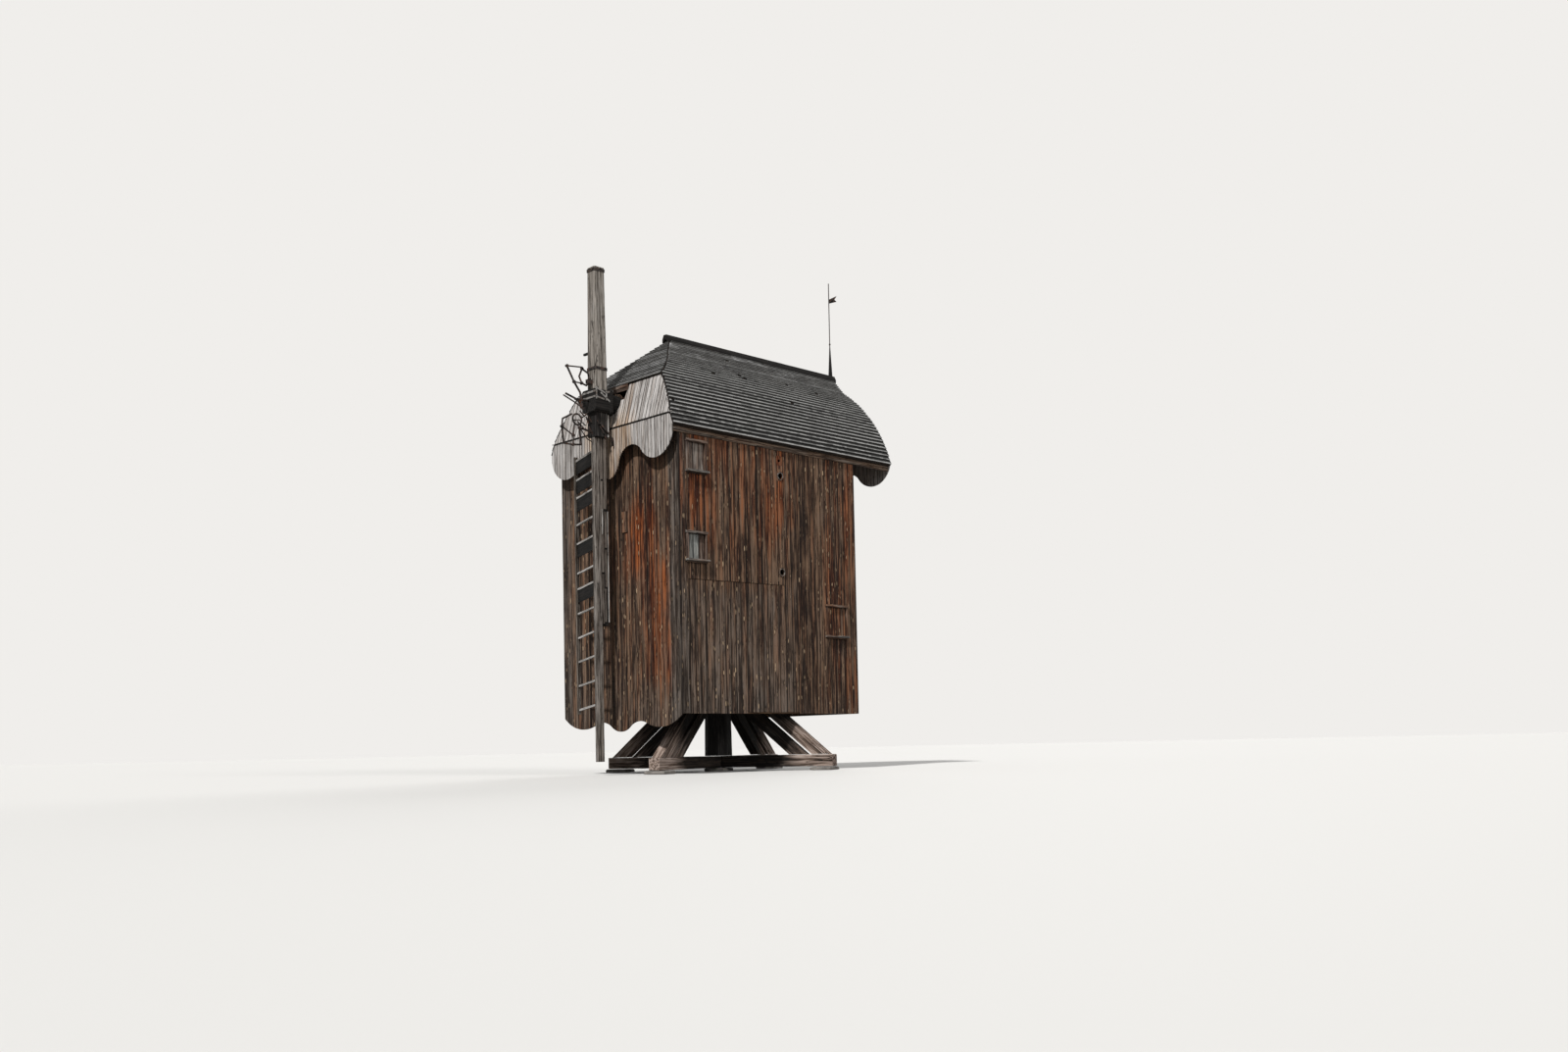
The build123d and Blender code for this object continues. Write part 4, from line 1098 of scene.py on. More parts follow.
def build_rear_wall():
    """Boards up to the roof, with the way of the door left open."""
    pile = Pile(31)
    boards = board_edges(pile.random, -SIDE_X, SIDE_X, settings().board_width,
                         forced=(-DOOR_HALF, DOOR_HALF))
    foot, head = level(WALL_FOOT), under_roof(11.7, 0.03, 0.09)

    def spans(x0, x1):
        if abs((x0 + x1) / 2) < DOOR_HALF:
            return [(foot, level(DOOR_FOOT)), (level(DOOR_HEAD), head)]
        return [(foot, head)]

    wall_run(pile, boards, spans, rear_place, rear_warm, rear_grey)
    pile.finish("rear_boards", material(wall_boards), "house", ["rear_wall"], "brown_boards")
    nail_rows("rear_nails", boards, spans, rear_place)


class MILL_OT_walls(bpy.types.Operator):
    """Board the four walls of the mill house"""

    bl_idname = "mill.walls"
    bl_label = "Walls"

    def execute(self, context):
        build_front_wall()
        build_side_wall(1)
        build_side_wall(-1)
        build_rear_wall()
        return {"FINISHED"}


# Hatches and door

def add_block(pile, low, high, edge=0.006, grain="Z", **look):
    """A worn block between two corners, its grain along one axis."""
    low, high = Vector(low), Vector(high)
    part = soften(box_part(pile, high - low), edge)
    axis = Vector([1.0 if name == grain else 0.0 for name in "XYZ"])
    pile.add(part, moved(Matrix.Translation((low + high) / 2)),
             turn=axis.rotation_difference(Vector((0, 0, 1))), **look)


# How far in and how far out of the wall's face the blocks round a hatch reach
JAMB = (-0.005, 0.045)
LINTEL = (-0.005, 0.070)
SILL = (-0.010, 0.135)
LOW_SILL = (-0.010, 0.095)
APRON = (0.0, 0.050)
# The upper leaf is brown grey, the middle one bleached, the lower one rusty.
LEAF_LOOKS = (dict(grey=0.15, warm=0.05), dict(grey=1.0, warm=0.0), dict(grey=0.1, warm=0.35))
DARK_LEAF_BOARD = dict(grey=0.0, warm=0.2, tone=0.1)


def hatch_frame(pile, side, index):
    """Two jambs, a lintel, a sill and the apron under it."""
    y, z, width, height = HATCHES[index]
    y0, y1, z0, z1 = y - width / 2, y + width / 2, z - height / 2, z + height / 2
    lowest = index == 2
    jamb = 0.045 if lowest else 0.06
    look = dict(grey=0.0, warm=0.6) if lowest else dict(grey=0.0, warm=0.25, tone=0.2)

    def block(stands, ya, yb, za, zb, grain, **extra):
        xs = sorted(side * (SIDE_X + out) for out in stands)
        add_block(pile, (xs[0], ya, za), (xs[1], yb, zb), grain=grain, **{**look, **extra})

    block(JAMB, y0 - jamb, y0 + 0.005, z0 - 0.01, z1, "Z")
    block(JAMB, y1 - 0.005, y1 + jamb, z0 - 0.01, z1, "Z")
    block(LINTEL, y0 - jamb - 0.02, y1 + jamb + 0.02, z1, z1 + 0.065, "Y", tone=0.3, grey=0.4 * (index == 1))
    block(LOW_SILL if lowest else SILL, y0 - jamb - 0.025, y1 + jamb + 0.025, z0 - 0.055, z0, "Y",
          tone=0.3, grey=0.45)
    # The apron takes the darkest, ungreyed tone: painted shade under the sill.
    block(APRON, y0 - jamb, y1 + jamb, z0 - 0.085, z0 - 0.055, "Y", tone=0.0, grey=0.0)


def build_hatches(side):
    """Frames with a lintel and a sill, and the boarded leaves inside them."""
    frames, leaves, low_leaf = [Pile(seed if side > 0 else seed + 1) for seed in (41, 43, 45)]
    for index, (y, z, width, height) in enumerate(HATCHES):
        hatch_frame(frames, side, index)
        joints = board_edges(leaves.random, y - width / 2 + 0.004, y + width / 2 - 0.004,
                             0.19 if index == 2 else 0.16, 0.12)
        foot, head = level(z - height / 2 + 0.004), level(z + height / 2 - 0.004)
        for number, (a, b) in enumerate(joints):
            last_of_middle = index == 1 and number == len(joints) - 1
            plank(low_leaf if index == 2 else leaves, a + 0.003, b - 0.003, foot, head,
                  0.022 + leaves.random.uniform(-0.003, 0.003), side_place(side),
                  **(DARK_LEAF_BOARD if last_of_middle else LEAF_LOOKS[index]))
    word = side_word(side)
    frames.finish("hatch_frames_" + word + "_boards", material(hatch_wood), "house",
                  ["hatch_frames_" + word], "grey_boards")
    leaves.finish("hatch_leaves_" + word, material(hatch_wood), "house", ["hatch_shutters_" + word],
                  "grey_boards")
    low_leaf.finish("low_hatch_leaf_" + word, material(wall_boards), "house", (), "brown_boards")


def build_vent_rings():
    """Rounded rings nailed round the two larger holes."""
    pile = Pile(51)
    for y, z, radius in VENT_HOLES[1:]:
        part = pile.part()
        for reach in (radius + 0.004, radius + 0.03):
            bmesh.ops.create_circle(part, cap_ends=False, segments=32, radius=reach)
        bmesh.ops.bridge_loops(part, edges=part.edges[:])
        thicken(part, (0, 0, 0.026))
        bevel(part, hard_edges(part, 0.6), 0.005, 2)
        pile.add(part, lambda p, y=y, z=z: Vector((SIDE_X - 0.004 + p.z, y + p.x, z + p.y)),
                 tone=0.2, grey=0.35)
    pile.finish("vent_rings", material(hatch_wood), "house", ["hole_rings"], "grey_boards")


def build_door_leaf():
    """Upright boards, shut in the door's way."""
    leaf = Pile(61)
    for a, b in board_edges(leaf.random, -DOOR_HALF + 0.006, DOOR_HALF - 0.006, 0.16, 0.1):
        plank(leaf, a + 0.002, b - 0.002, level(DOOR_FOOT + 0.004), level(DOOR_HEAD - 0.006), 0.034,
              rear_place, grey=0.35, warm=0.25)
    leaf.finish("door_boards", material(hatch_wood), "house", ["rear_door"], "grey_boards")


def build_door_frame():
    """Two jambs between a head and a sill that run out past them."""
    surround = Pile(62)
    low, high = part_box("door_surround")
    y0, y1 = low.y - 0.004, high.y
    jamb, ear = 0.09, 0.03
    for x in (low.x, high.x - jamb):
        add_block(surround, (x, y0, low.z + jamb), (x + jamb, y1, high.z - jamb), grain="Z", grey=0.5)
    for z, grey in ((high.z - jamb, 0.5), (low.z, 0.4)):
        add_block(surround, (low.x - ear, y0, z), (high.x + ear, y1, z + jamb), grain="X", grey=grey)
    surround.finish("door_frame_boards", material(hatch_wood), "house", ["door_surround"], "grey_boards")


def build_door_straps():
    """Two strap hinges that taper to their tips, with their pins and nails, and a pull."""
    straps = Pile(63)

    def set_at(part, x, out, z, turn=Matrix()):
        straps.add(part, moved(Matrix.Translation((x, REAR_Y + out, z)) @ turn))

    for z in (DOOR_FOOT + 0.3, DOOR_HEAD - 0.3):
        strap = box_part(straps, (0.72, 0.006, 0.05))
        for vert in strap.verts:
            if vert.co.x > 0:
                vert.co.z *= 0.45
        set_at(soften(strap, 0.002), -0.10, 0.0, z)
        set_at(soften(rod_part(straps, 0.014, 0.014, 0.09, 12), 0.003), -0.465, 0.012, z)
        nails = [(x, REAR_Y + 0.004, z) for x in (-0.38, -0.22, -0.06, 0.10, 0.22)]
        nail_heads(straps, nails, (0, 1, 0))
    pull = soften(rod_part(straps, 0.035, 0.03, 0.012, 16), 0.003)
    set_at(pull, 0.36, 0.002, DOOR_FOOT + 0.78, Matrix.Rotation(math.radians(-90), 4, "X"))
    straps.finish("door_straps", material(rusty_iron), "house", (), "iron")


class MILL_OT_openings(bpy.types.Operator):
    """Fit the hatches, the ringed vent holes and the rear door"""

    bl_idname = "mill.openings"
    bl_label = "Hatches and door"

    def execute(self, context):
        build_hatches(1)
        build_hatches(-1)
        build_vent_rings()
        build_door_leaf()
        build_door_frame()
        build_door_straps()
        return {"FINISHED"}


# Roof

SHINGLE_OVERLAP = 1.35


def add_shingle(pile, corners, tone, worn, lap):
    """One shingle. corners(u, v, w) gives the place of a corner across, up the slope and off the roof."""
    part = pile.part()
    bmesh.ops.create_cube(part, size=1.0)
    grain = part.verts.layers.float_vector["grain"]
    mood = part.verts.layers.float_vector["mood"]
    shift = pile.grain_shift()
    for vert in part.verts:
        u, v, w = vert.co + Vector((0.5, 0.5, 0.5))
        vert.co, local = corners(u, v, w)
        vert[grain] = local + shift
        # The mood's z says how far up the shingle a corner lies; the shingle wood paints shade from it.
        vert[mood] = (tone, worn, lap * v)
    pile.join(part)


def shingle_off(v, w, rest, butt):
    """How far a corner stands off the roof. The butt rests on the course below, and the head is thin."""
    low = rest + butt * w
    return low + (-0.004 + 0.008 * w - low) * v


def course_sizes(slope):
    """The number of courses up a slope, what each leaves bare, and the length of a shingle."""
    count = round(slope / roofing().exposure)
    exposure = slope / count
    return count, exposure, exposure * SHINGLE_OVERLAP


def course_of_shingles(rng, base, start, end, drop, butts):
    """Each shingle's sides, foot and butt, from one end of a course to the other."""
    facts = roofing()
    side = start - rng.uniform(0, facts.shingle_width)
    while side < end:
        width = facts.shingle_width * rng.uniform(0.6, 1.4)
        foot = base + rng.uniform(-drop, drop)
        yield side, side + width, foot, facts.butt * rng.uniform(*butts)
        side += width


def worn_patch(y, along):
    """Pale scuffed places on the upper courses."""
    spot = noise.noise(Vector((y * 1.3, along * 2.2, 4.0)))
    return 0.75 * fade(along, 2.9, 3.7) * fade(spot, 0.12, 0.45)


def build_roof_slope(side):
    """Courses from the eave over the knee to the ridge, cut along the leaning verge and the prow."""
    pile = Pile(71 if side > 0 else 72)
    rng = pile.random
    slope = CURVE_LENGTH + TOP_LENGTH
    count, exposure, length = course_sizes(slope)
    for course in range(count):
        base = course * exposure
        course_tone = rng.random()
        course_wear = 0.35 * fade(base, 2.5, 2.9) if rng.random() < 0.35 else 0.0
        for front, rear, start, butt in course_of_shingles(
                rng, base, VERGE_FRONT_Y, PROW_Y, 0.002, (0.92, 1.12)):
            rest = 0.016 + rng.uniform(0.0, 0.003)
            y0, y1 = front + 0.0025, rear - 0.0025

            def corners(u, v, w):
                along = min(start + v * length, slope + 0.01)
                off = shingle_off(v, w, rest, butt)
                x, z = roof_point(along, off)
                across = y0 + (y1 - y0) * u
                # Held back from the hip, the shingles leave a strip where the near-black boarding paints the
                # shade at the arris.
                arris = 0.022 if z > HIP_FOOT_Z else -0.012
                held = min(max(across, verge_front(z) + arris), verge_rear(x) + 0.012)
                return Vector((side * max(x, 0.0), held, z)), Vector((across, off, along))

            front_limit = verge_front(roof_point(start + length * 0.5, 0.0)[1])
            rear_limit = verge_rear(roof_point(start, 0.0)[0])
            inside = y1 > front_limit + 0.01 and y0 < rear_limit - 0.01
            if inside and (course < 4 or rng.random() > 0.007):
                worn = worn_patch(front, base) * rng.uniform(0.4, 1.0) + course_wear
                add_shingle(pile, corners, 0.5 * course_tone + 0.5 * rng.random(), worn, 1.0)
    pile.finish("shingles_" + side_word(side), material(shingle_wood), "house", (), "shingles")


def build_hip():
    """Courses on the front hip, level and parallel to its lower edge."""
    pile = Pile(73)
    rng = pile.random
    run, rise = RIDGE_FRONT_Y - HIP_FOOT_Y, APEX_Z - HIP_FOOT_Z
    pitch = math.atan2(rise, run)
    below = HIP_OVERHANG + HIP_DRIP
    slope = math.hypot(run, rise) + HIP_OVERHANG + HIP_DRIP
    count, exposure, length = course_sizes(slope)
    foot_y = HIP_FOOT_Y - below * math.cos(pitch)
    foot_z = HIP_FOOT_Z - below * math.sin(pitch)
    half = roof_half_width(foot_z)
    for course in range(count):
        course_tone, course_wear = rng.random(), rng.choice((0.0, 0.0, 0.15, 0.4))
        for left, right, start, butt in course_of_shingles(
                rng, course * exposure, -half, half, 0.003, (0.9, 1.1)):
            x0, x1 = left + 0.0015, right - 0.0015

            def corners(u, v, w):
                along = min(start + v * length, slope)
                off = shingle_off(v, w, 0.010, butt)
                y = foot_y + along * math.cos(pitch) - off * math.sin(pitch)
                z = foot_z + along * math.sin(pitch) + off * math.cos(pitch)
                limit = roof_half_width(z - off) - 0.012
                across = x0 + (x1 - x0) * u
                return Vector((min(max(across, -limit), limit), y, z)), Vector((across, off, along))

            top_limit = roof_half_width(foot_z + start * math.sin(pitch))
            if x1 > -top_limit + 0.01 and x0 < top_limit - 0.01:
                add_shingle(pile, corners, 0.7 * course_tone + 0.3 * rng.random(), course_wear, 1.35)
    pile.finish("shingles_hip", material(shingle_wood), "house", (), "shingles")


def build_hip_lip():
    """Two boards under the hip's lower edge, over the way that the skirt leaves for the shaft."""
    pile = Pile(77)
    half, width, depth = 0.50, 0.09, 0.022
    for foot, out in ((10.225, 0.016), (10.145, 0.0)):
        y = HIP_FOOT_Y - 0.07 - out
        add_block(pile, (-half, y, foot), (half, y + depth, foot + width), 0.003, grain="X",
                  warm=0.35, tone=0.6)
    pile.finish("hip_lip_boards", material(hatch_wood), "house", (), "grey_boards")


def build_ridge():
    """The tarred ridge log, and the finial behind it with its rod, pennon and collar."""
    worn_piece(74, "ridge_cap", "ridge_log", tarred_timber, "house", "oak", wear=0.006, step=0.35, grey=0.1)
    worn_piece(75, "finial_spike", "finial_post", tarred_timber, "house", "oak", edge=0.004, wear=0.003,
               step=0.2, axis=(0, 0, 1), grey=0.2)
    rod = Pile(76)
    worn_copy(rod, "finial_rod", edge=0.0, wear=0.0, step=0.4, axis=(0, 0, 1))
    low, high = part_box("finial_spike")
    tip = Matrix.Translation(((low.x + high.x) / 2, (low.y + high.y) / 2, high.z))
    rod.add(soften(rod_part(rod, 0.030, 0.022, 0.05, 16), 0.004), moved(tip))
    rod.finish("finial_vane", material(rusty_iron), "house", ["finial_rod"], "iron")


class MILL_OT_roof(bpy.types.Operator):
    """Lay the shingles on both slopes and the hip, and set the ridge log and its finial"""

    bl_idname = "mill.roof"
    bl_label = "Roof"

    def execute(self, context):
        build_roof_slope(1)
        build_roof_slope(-1)
        build_hip()
        build_hip_lip()
        build_ridge()
        return {"FINISHED"}


# Gable skirts and fascias

def skirt_warm_front(point):
    """Brown in the middle of the gable, and less so under the hip."""
    return 0.75 * (1 - fade(abs(point.x), 0.7, 1.4)) * (1 - 0.5 * fade(point.z, 9.2, 9.6)) + 0.08


def skirt_board(pile, a, b, foot, head, place, column=0.03, **look):
    """A thin board, cut into columns so narrow that its ends can follow a curve."""
    depth = SKIRT_DEPTH - pile.random.uniform(0.0, 0.006)
    plank(pile, a + 0.002, b - 0.002, foot, head, depth, place, columns=max(1, round((b - a) / column)),
          edge=0.003, **look)


def build_wavy_skirt(seed, node, name, wavy_foot, top, place, warm):
    """Boards whose feet make tongue, arch and lobe."""
    pile = Pile(seed)
    head = under_roof(top, 0.03, 0.03)
    for a, b in board_edges(pile.random, -SKIRT_X, SKIRT_X, settings().skirt_width, 0.25):
        skirt_board(pile, a, b, wavy_foot, head, place, warm=warm)
    pile.finish(name, material(skirt_boards), "house", [node], "grey_boards")


def build_ledger():
    """A rail behind the gap between the two tiers of the front skirt, in the black wood that paints the shade
    in that gap.
    """
    pile = Pile(86)
    half, y = 2.42, VERGE_FRONT_Y
    add_block(pile, (-half, y + 0.004, TIER_Z - 0.06), (half, y + 0.05, TIER_Z + 0.05), grain="X")
    pile.finish("skirt_ledger", material(tarred_timber), "house", (), "oak")


# Half widths on the upper tier: the round way for the shaft, one short board, one board cut slanting
SHAFT_SLOT = (0.29, 0.44, 0.53)


def upper_skirt_head(x):
    """Cut round the shaft, then one short board, then one cut slanting, then up to the hip."""
    way, step, shoulder = SHAFT_SLOT
    if x < way:
        return SHAFT_Z - math.sqrt(way ** 2 - x * x)
    if x < step:
        return SHAFT_Z + 0.09
    if x < shoulder:
        return SHAFT_Z + 0.09 + (x - step) / (shoulder - step) * 0.32
    return max(TIER_Z + 0.012, under_roof(HIP_FOOT_Z - 0.10, 0.03, 0.03)(x))


def build_upper_skirt():
    """The leaning boards between the ledger and the hip."""
    pile = Pile(82)
    lean_y, lean_z = HIP_FOOT_Y - VERGE_FRONT_Y, HIP_FOOT_Z - TIER_Z
    lean = math.atan2(lean_y, lean_z)

    def place(p):
        share = (p.z - TIER_Z) / lean_z
        y = VERGE_FRONT_Y + share * lean_y - math.cos(lean) * p.y
        return Vector((p.x, y, p.z + math.sin(lean) * p.y))

    forced = (*[-x for x in SHAFT_SLOT], *SHAFT_SLOT)
    for a, b in board_edges(pile.random, -SKIRT_X, SKIRT_X, settings().skirt_width * 1.15, forced=forced):
        inner = min(abs(a), abs(b)) + 1e-6
        if roof_height(inner + 0.012) - 0.012 < TIER_Z + 0.03:
            continue
        outer = inner + b - a - 0.006

        def head(x):
            return upper_skirt_head(max(inner, min(abs(x), outer)))

        skirt_board(pile, a, b, level(TIER_Z + 0.022), head, place, 0.04, warm=skirt_warm_front)
    pile.finish("front_skirt_upper_boards", material(skirt_boards), "house", ["front_skirt_upper"],
                "grey_boards")


def build_rear_gable():
    """Boards under the prow."""
    pile = Pile(84)
    low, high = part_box("rear_gable")

    def head(x):
        return max(low.z + 0.01, roof_height(abs(x) + 0.05) - 0.07)

    for a, b in board_edges(pile.random, low.x, high.x, settings().board_width, 0.2):
        plank(pile, a + 0.003, b - 0.003, level(low.z), head, SKIRT_DEPTH,
              lambda p: Vector((p.x, VERGE_REAR_Y - SKIRT_DEPTH + p.y, p.z)), edge=0.003, warm=0.15, grey=0.1)
    pile.finish("rear_gable_boards", material(skirt_boards), "house", ["rear_gable"], "grey_boards")


class MILL_OT_gables(bpy.types.Operator):
    """Hang the wavy skirts on both gables and the fascias under the eaves"""

    bl_idname = "mill.gables"
    bl_label = "Gable skirts"

    def execute(self, context):
        build_wavy_skirt(81, "front_skirt_lower", "front_skirt_lower_boards", FRONT_SKIRT_EDGE,
                         TIER_Z - 0.03, lambda p: Vector((p.x, VERGE_FRONT_Y - p.y, p.z)), skirt_warm_front)
        build_ledger()
        build_upper_skirt()
        build_wavy_skirt(83, "rear_skirt", "rear_skirt_boards", REAR_SKIRT_EDGE, TIER_Z - 0.004,
                         lambda p: Vector((p.x, VERGE_REAR_Y + p.y, p.z)), 0.1)
        build_rear_gable()
        worn_piece(85, "fascias", "fascia_boards", frame_timber, "house", "grey_boards", edge=0.006,
                   wear=0.003, step=0.4, axis=(0, 1, 0), tone=0.1, warm=0.6)
        return {"FINISHED"}


# Trestle, frame and sails

def painted_house_shadow(point):
    """Painted shadow of the house on the trestle: the timbers are black near the post, and bare where their
    ends stand out from under the house.
    """
    return 1.2 * (1 - fade(math.hypot(point.x, point.y), 1.8, 3.0))


class MILL_OT_trestle(bpy.types.Operator):
    """Hew the post, the ground beams, the braces and the saddle, and split the stones"""

    bl_idname = "mill.trestle"
    bl_label = "Trestle"

    def execute(self, context):
        for seed, node, name in (
                (91, "ground_beam_lower", "ground_beam_lower_log"),
                (92, "ground_beam_upper", "ground_beam_upper_log"),
                (93, "upper_braces", "upper_brace_logs"), (94, "lower_braces", "lower_brace_logs"),
                (95, "saddle", "saddle_collar")):
            # warm lays the painted shadow of the house on these timbers.
            worn_piece(seed, node, name, trestle_timber, "trestle", "oak", edge=0.022, wear=0.012, step=0.22,
                       warm=painted_house_shadow)
        # The post takes the nearly black wood as painted shade of the house above it.
        worn_piece(96, "main_post", "main_post_log", tarred_timber, "trestle", "oak", edge=0.02, wear=0.006,
                   axis=(0, 0, 1), sharp=35, grey=0.5)
        worn_piece(97, "foot_pads", "foot_stones", field_stone, "trestle", "fieldstone", edge=0.03,
                   wear=0.012, step=0.1, axis=(1, 0, 0))
        return {"FINISHED"}


HOUSE_FRAME = {
    "crown_tree": "X", "end_girts": "X", "end_sills": "X", "shaft_beams": "X", "neck_bearing": "X",
    "tail_bearing": "X", "side_girts": "Y", "side_sills": "Y", "sheer_beams": "Y", "lower_floor": "Y",
    "middle_floor": "Y", "upper_floor": "Y", "corner_posts": "Z",
}


class MILL_OT_house_frame(bpy.types.Operator):
    """Finish the frame, the floors and the roof boarding that the CAD shows"""

    bl_idname = "mill.house_frame"
    bl_label = "House frame"

    def execute(self, context):
        for node, axis in HOUSE_FRAME.items():
            paint(node, material(inner_timber, axis))
        for node in ("roof_slope_right", "roof_slope_left"):
            paint(node, material(painted_shade_boarding, "Y"))
        paint("front_hip", material(painted_shade_boarding, "X"))
        return {"FINISHED"}


def paint(node, finish):
    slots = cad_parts[node].data.materials
    slots.clear()
    slots.append(finish)


def root_tar(point):
    """The stock is black with tar below the poll, and bare above it."""
    return 1.15 * (1 - fade(point.z, SHAFT_Z, SHAFT_Z + 0.45))


# Boards nailed to the right of the lower arm's black backing, with slots left open: y0, y1, foot, head
PATCHES = (
    (-4.030, -3.985, 7.75, 8.84), (-3.955, -3.860, 6.97, 8.84), (-4.030, -3.972, 6.55, 7.70),
    (-3.945, -3.875, 5.95, 6.90), (-4.030, -3.960, 5.30, 6.50), (-3.930, -3.878, 4.92, 5.90),
    (-4.030, -3.978, 3.95, 5.25), (-3.950, -3.905, 4.00, 4.87),
)
# Light laths over them and beside the stock's root: x, y, foot, head, width
LATHS = (
    (0.207, -3.862, 8.86, 9.44, 0.035),
    (0.106, -3.846, 4.00, 6.90, 0.026),
    (0.106, -4.020, 6.30, 6.95, 0.024),
)


def build_laths():
    """Boards and thin battens nailed to the right of the lower arm and of the stock's root."""
    pile = Pile(112)
    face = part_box("whip_backing")[1].x - 0.008
    for y0, y1, foot, head in PATCHES:
        add_block(pile, (face, y0, foot), (face + 0.022, y1, head), 0.003, warm=0.1)
    pile.finish("arm_patches", material(frame_timber), "sails", (), "oak")
    laths = Pile(113)
    for x, y, foot, head, width in LATHS:
        flat_bar(laths, [(x, y, foot), (x, y, head)], width, 0.02, (1, 0, 0))
    laths.finish("arm_laths", material(bare_laths), "sails", (), "oak")


# Each timber of the sails: seed, node, piece, wood, rounding, wear, grain and its own colours
SAIL_TIMBERS = (
    (101, "windshaft", "windshaft_log", tarred_timber, 0.0, 0.0, (0, 1, 0), {}),
    (102, "poll_end", "poll_head", tarred_timber, 0.012, 0.006, (0, 1, 0), {}),
    (103, "main_stock", "upper_arm", arm_timber, 0.0, 0.010, (0, 0, 1), dict(warm=root_tar)),
    (104, "lower_whip", "lower_arm", frame_timber, 0.010, 0.007, (0, 0, 1), dict(grey=0.5)),
    (105, "whip_backing", "lower_arm_backing", tarred_timber, 0.008, 0.006, (0, 0, 1), {}),
    (106, "sail_bars", "ladder_bars", bare_laths, 0.006, 0.003, None, dict(grey=0.5, tone=0.4)),
    (107, "sail_boards", "ladder_boards", tarred_timber, 0.003, 0.002, None, dict(tone=0.0)),
    (108, "sail_stile", "ladder_stile", frame_timber, 0.006, 0.005, (0, 0, 1), {}),
    (109, "cross_stub", "broken_cross_stub", hatch_wood, 0.012, 0.008, (1, 0, 0), dict(warm=1.0, tone=0.15)),
    (110, "stock_peg", "broken_bar_peg", tarred_timber, 0.005, 0.003, (1, 0, 0), {}),
)


class MILL_OT_sails(bpy.types.Operator):
    """Shape the windshaft, the poll end, both arms and what is left of the sail frame"""

    bl_idname = "mill.sails"
    bl_label = "Sails"

    def execute(self, context):
        for seed, node, name, maker, edge, wear, axis, look in SAIL_TIMBERS:
            worn_piece(seed, node, name, maker, "sails", "oak", edge=edge, wear=wear, step=0.25, axis=axis,
                       **look)
        build_laths()
        return {"FINISHED"}


POLL_SIDE = 0.306
STRAPS = (
    [(POLL_SIDE, -4.36, 10.11), (POLL_SIDE, -4.02, 9.99), (POLL_SIDE, -3.76, 10.08)],
    [(POLL_SIDE, -4.30, 10.07), (POLL_SIDE, -4.30, 9.80)],
    [(POLL_SIDE, -4.16, 9.98), (POLL_SIDE, -3.80, 9.74)],
    [(POLL_SIDE, -4.32, 9.86), (POLL_SIDE, -4.05, 9.82)],
    [(POLL_SIDE, -3.98, 10.06), (POLL_SIDE, -3.98, 9.80)],
)


def build_straps():
    """Rain-washed straps across the poll's right cheek and its front, and the bolts that hold them."""
    pile = Pile(124)
    for points in STRAPS:
        flat_bar(pile, points, 0.042, 0.009, (1, 0, 0))
        ends = ((points[0], points[1]), (points[-1], points[-2]))
        bolts = [Vector(end).lerp(Vector(bend), 0.15) for end, bend in ends]
        bolt_heads(pile, bolts, (1, 0, 0))
    for z in (9.86, 10.0):
        flat_bar(pile, [(-0.30, -4.336, z), (0.30, -4.336, z)], 0.05, 0.009, (0, -1, 0))
        bolt_heads(pile, [(-0.24, -4.340, z), (0.24, -4.340, z)], (0, -1, 0))
    pile.finish("poll_straps", material(bright_iron), "sails", (), "iron")


RODS = (
    ([(0.0, -4.42, 9.36), (0.0, -4.30, 9.05), (0.0, -4.22, 8.92)], 0.018),
    ([(0.0, -4.70, 9.19), (0.0, -4.50, 9.03), (0.0, -4.24, 8.98)], 0.020),
    ([(0.21, -4.22, 9.25), (0.215, -4.05, 8.98), (0.215, -3.93, 8.78)], 0.018),
    ([(0.0, -4.55, 9.33), (0.0, -4.62, 9.02), (0.0, -4.40, 8.78), (0.0, -4.24, 8.72)], 0.016),
    ([(0.0, -4.33, 9.50), (0.0, -4.48, 9.36), (0.0, -4.62, 9.48)], 0.018),
    ([(0.0, -4.86, 9.20), (0.0, -4.64, 9.24), (0.0, -4.44, 9.12)], 0.014),
)


def build_rods():
    """Loose bars that cross the tangle below the poll."""
    pile = Pile(125)
    for points, radius in RODS:
        round_bar(pile, points, radius)
    pile.finish("loose_gear_bars", material(rusty_iron), "sails", (), "iron")


class MILL_OT_irons(bpy.types.Operator):
    """Rust the hoops and the bent irons of the shutter gear"""

    bl_idname = "mill.irons"
    bl_label = "Irons"

    def execute(self, context):
        for seed, node, name in (
                (121, "arm_hoops", "arm_hoop_bands"), (122, "upper_irons", "upper_gear_irons"),
                (123, "lower_irons", "lower_gear_irons")):
            worn_piece(seed, node, name, rusty_iron, "sails", "iron", edge=0.0, wear=0.0, step=9.0)
        build_straps()
        build_rods()
        return {"FINISHED"}


# Studio

def seen_directly(tree):
    """1 for rays that show the background itself, straight or through a mirror or glass."""
    rays = add_node(tree, "ShaderNodeLightPath")
    return total(tree, (rays.outputs["Is Camera Ray"], 1.0), (rays.outputs["Is Glossy Ray"], 1.0),
                 (rays.outputs["Is Transmission Ray"], 1.0))


def floor_finish(colour):
    # Matt painted studio floor: pale and even to the eye, but as dull as earth in what it throws back.
    material, tree = new_material("pale_studio_floor")
    shown = coat(tree, linear("#625f5b"), tuple(colour), seen_directly(tree))
    shader = add_node(tree, "ShaderNodeBsdfPrincipled", {"Base Color": shown, "Roughness": 0.95})
    add_node(tree, "ShaderNodeOutputMaterial", {"Surface": shader.outputs[0]})
    return material


def add_floor(colour):
    part = bmesh.new()
    bmesh.ops.create_circle(part, cap_ends=True, segments=96, radius=400.0)
    mesh = bpy.data.meshes.new("studio_floor")
    part.to_mesh(mesh)
    part.free()
    floor = bpy.data.objects.new("studio_floor", mesh)
    bpy.context.scene.collection.objects.link(floor)
    mesh.materials.append(floor_finish(colour))


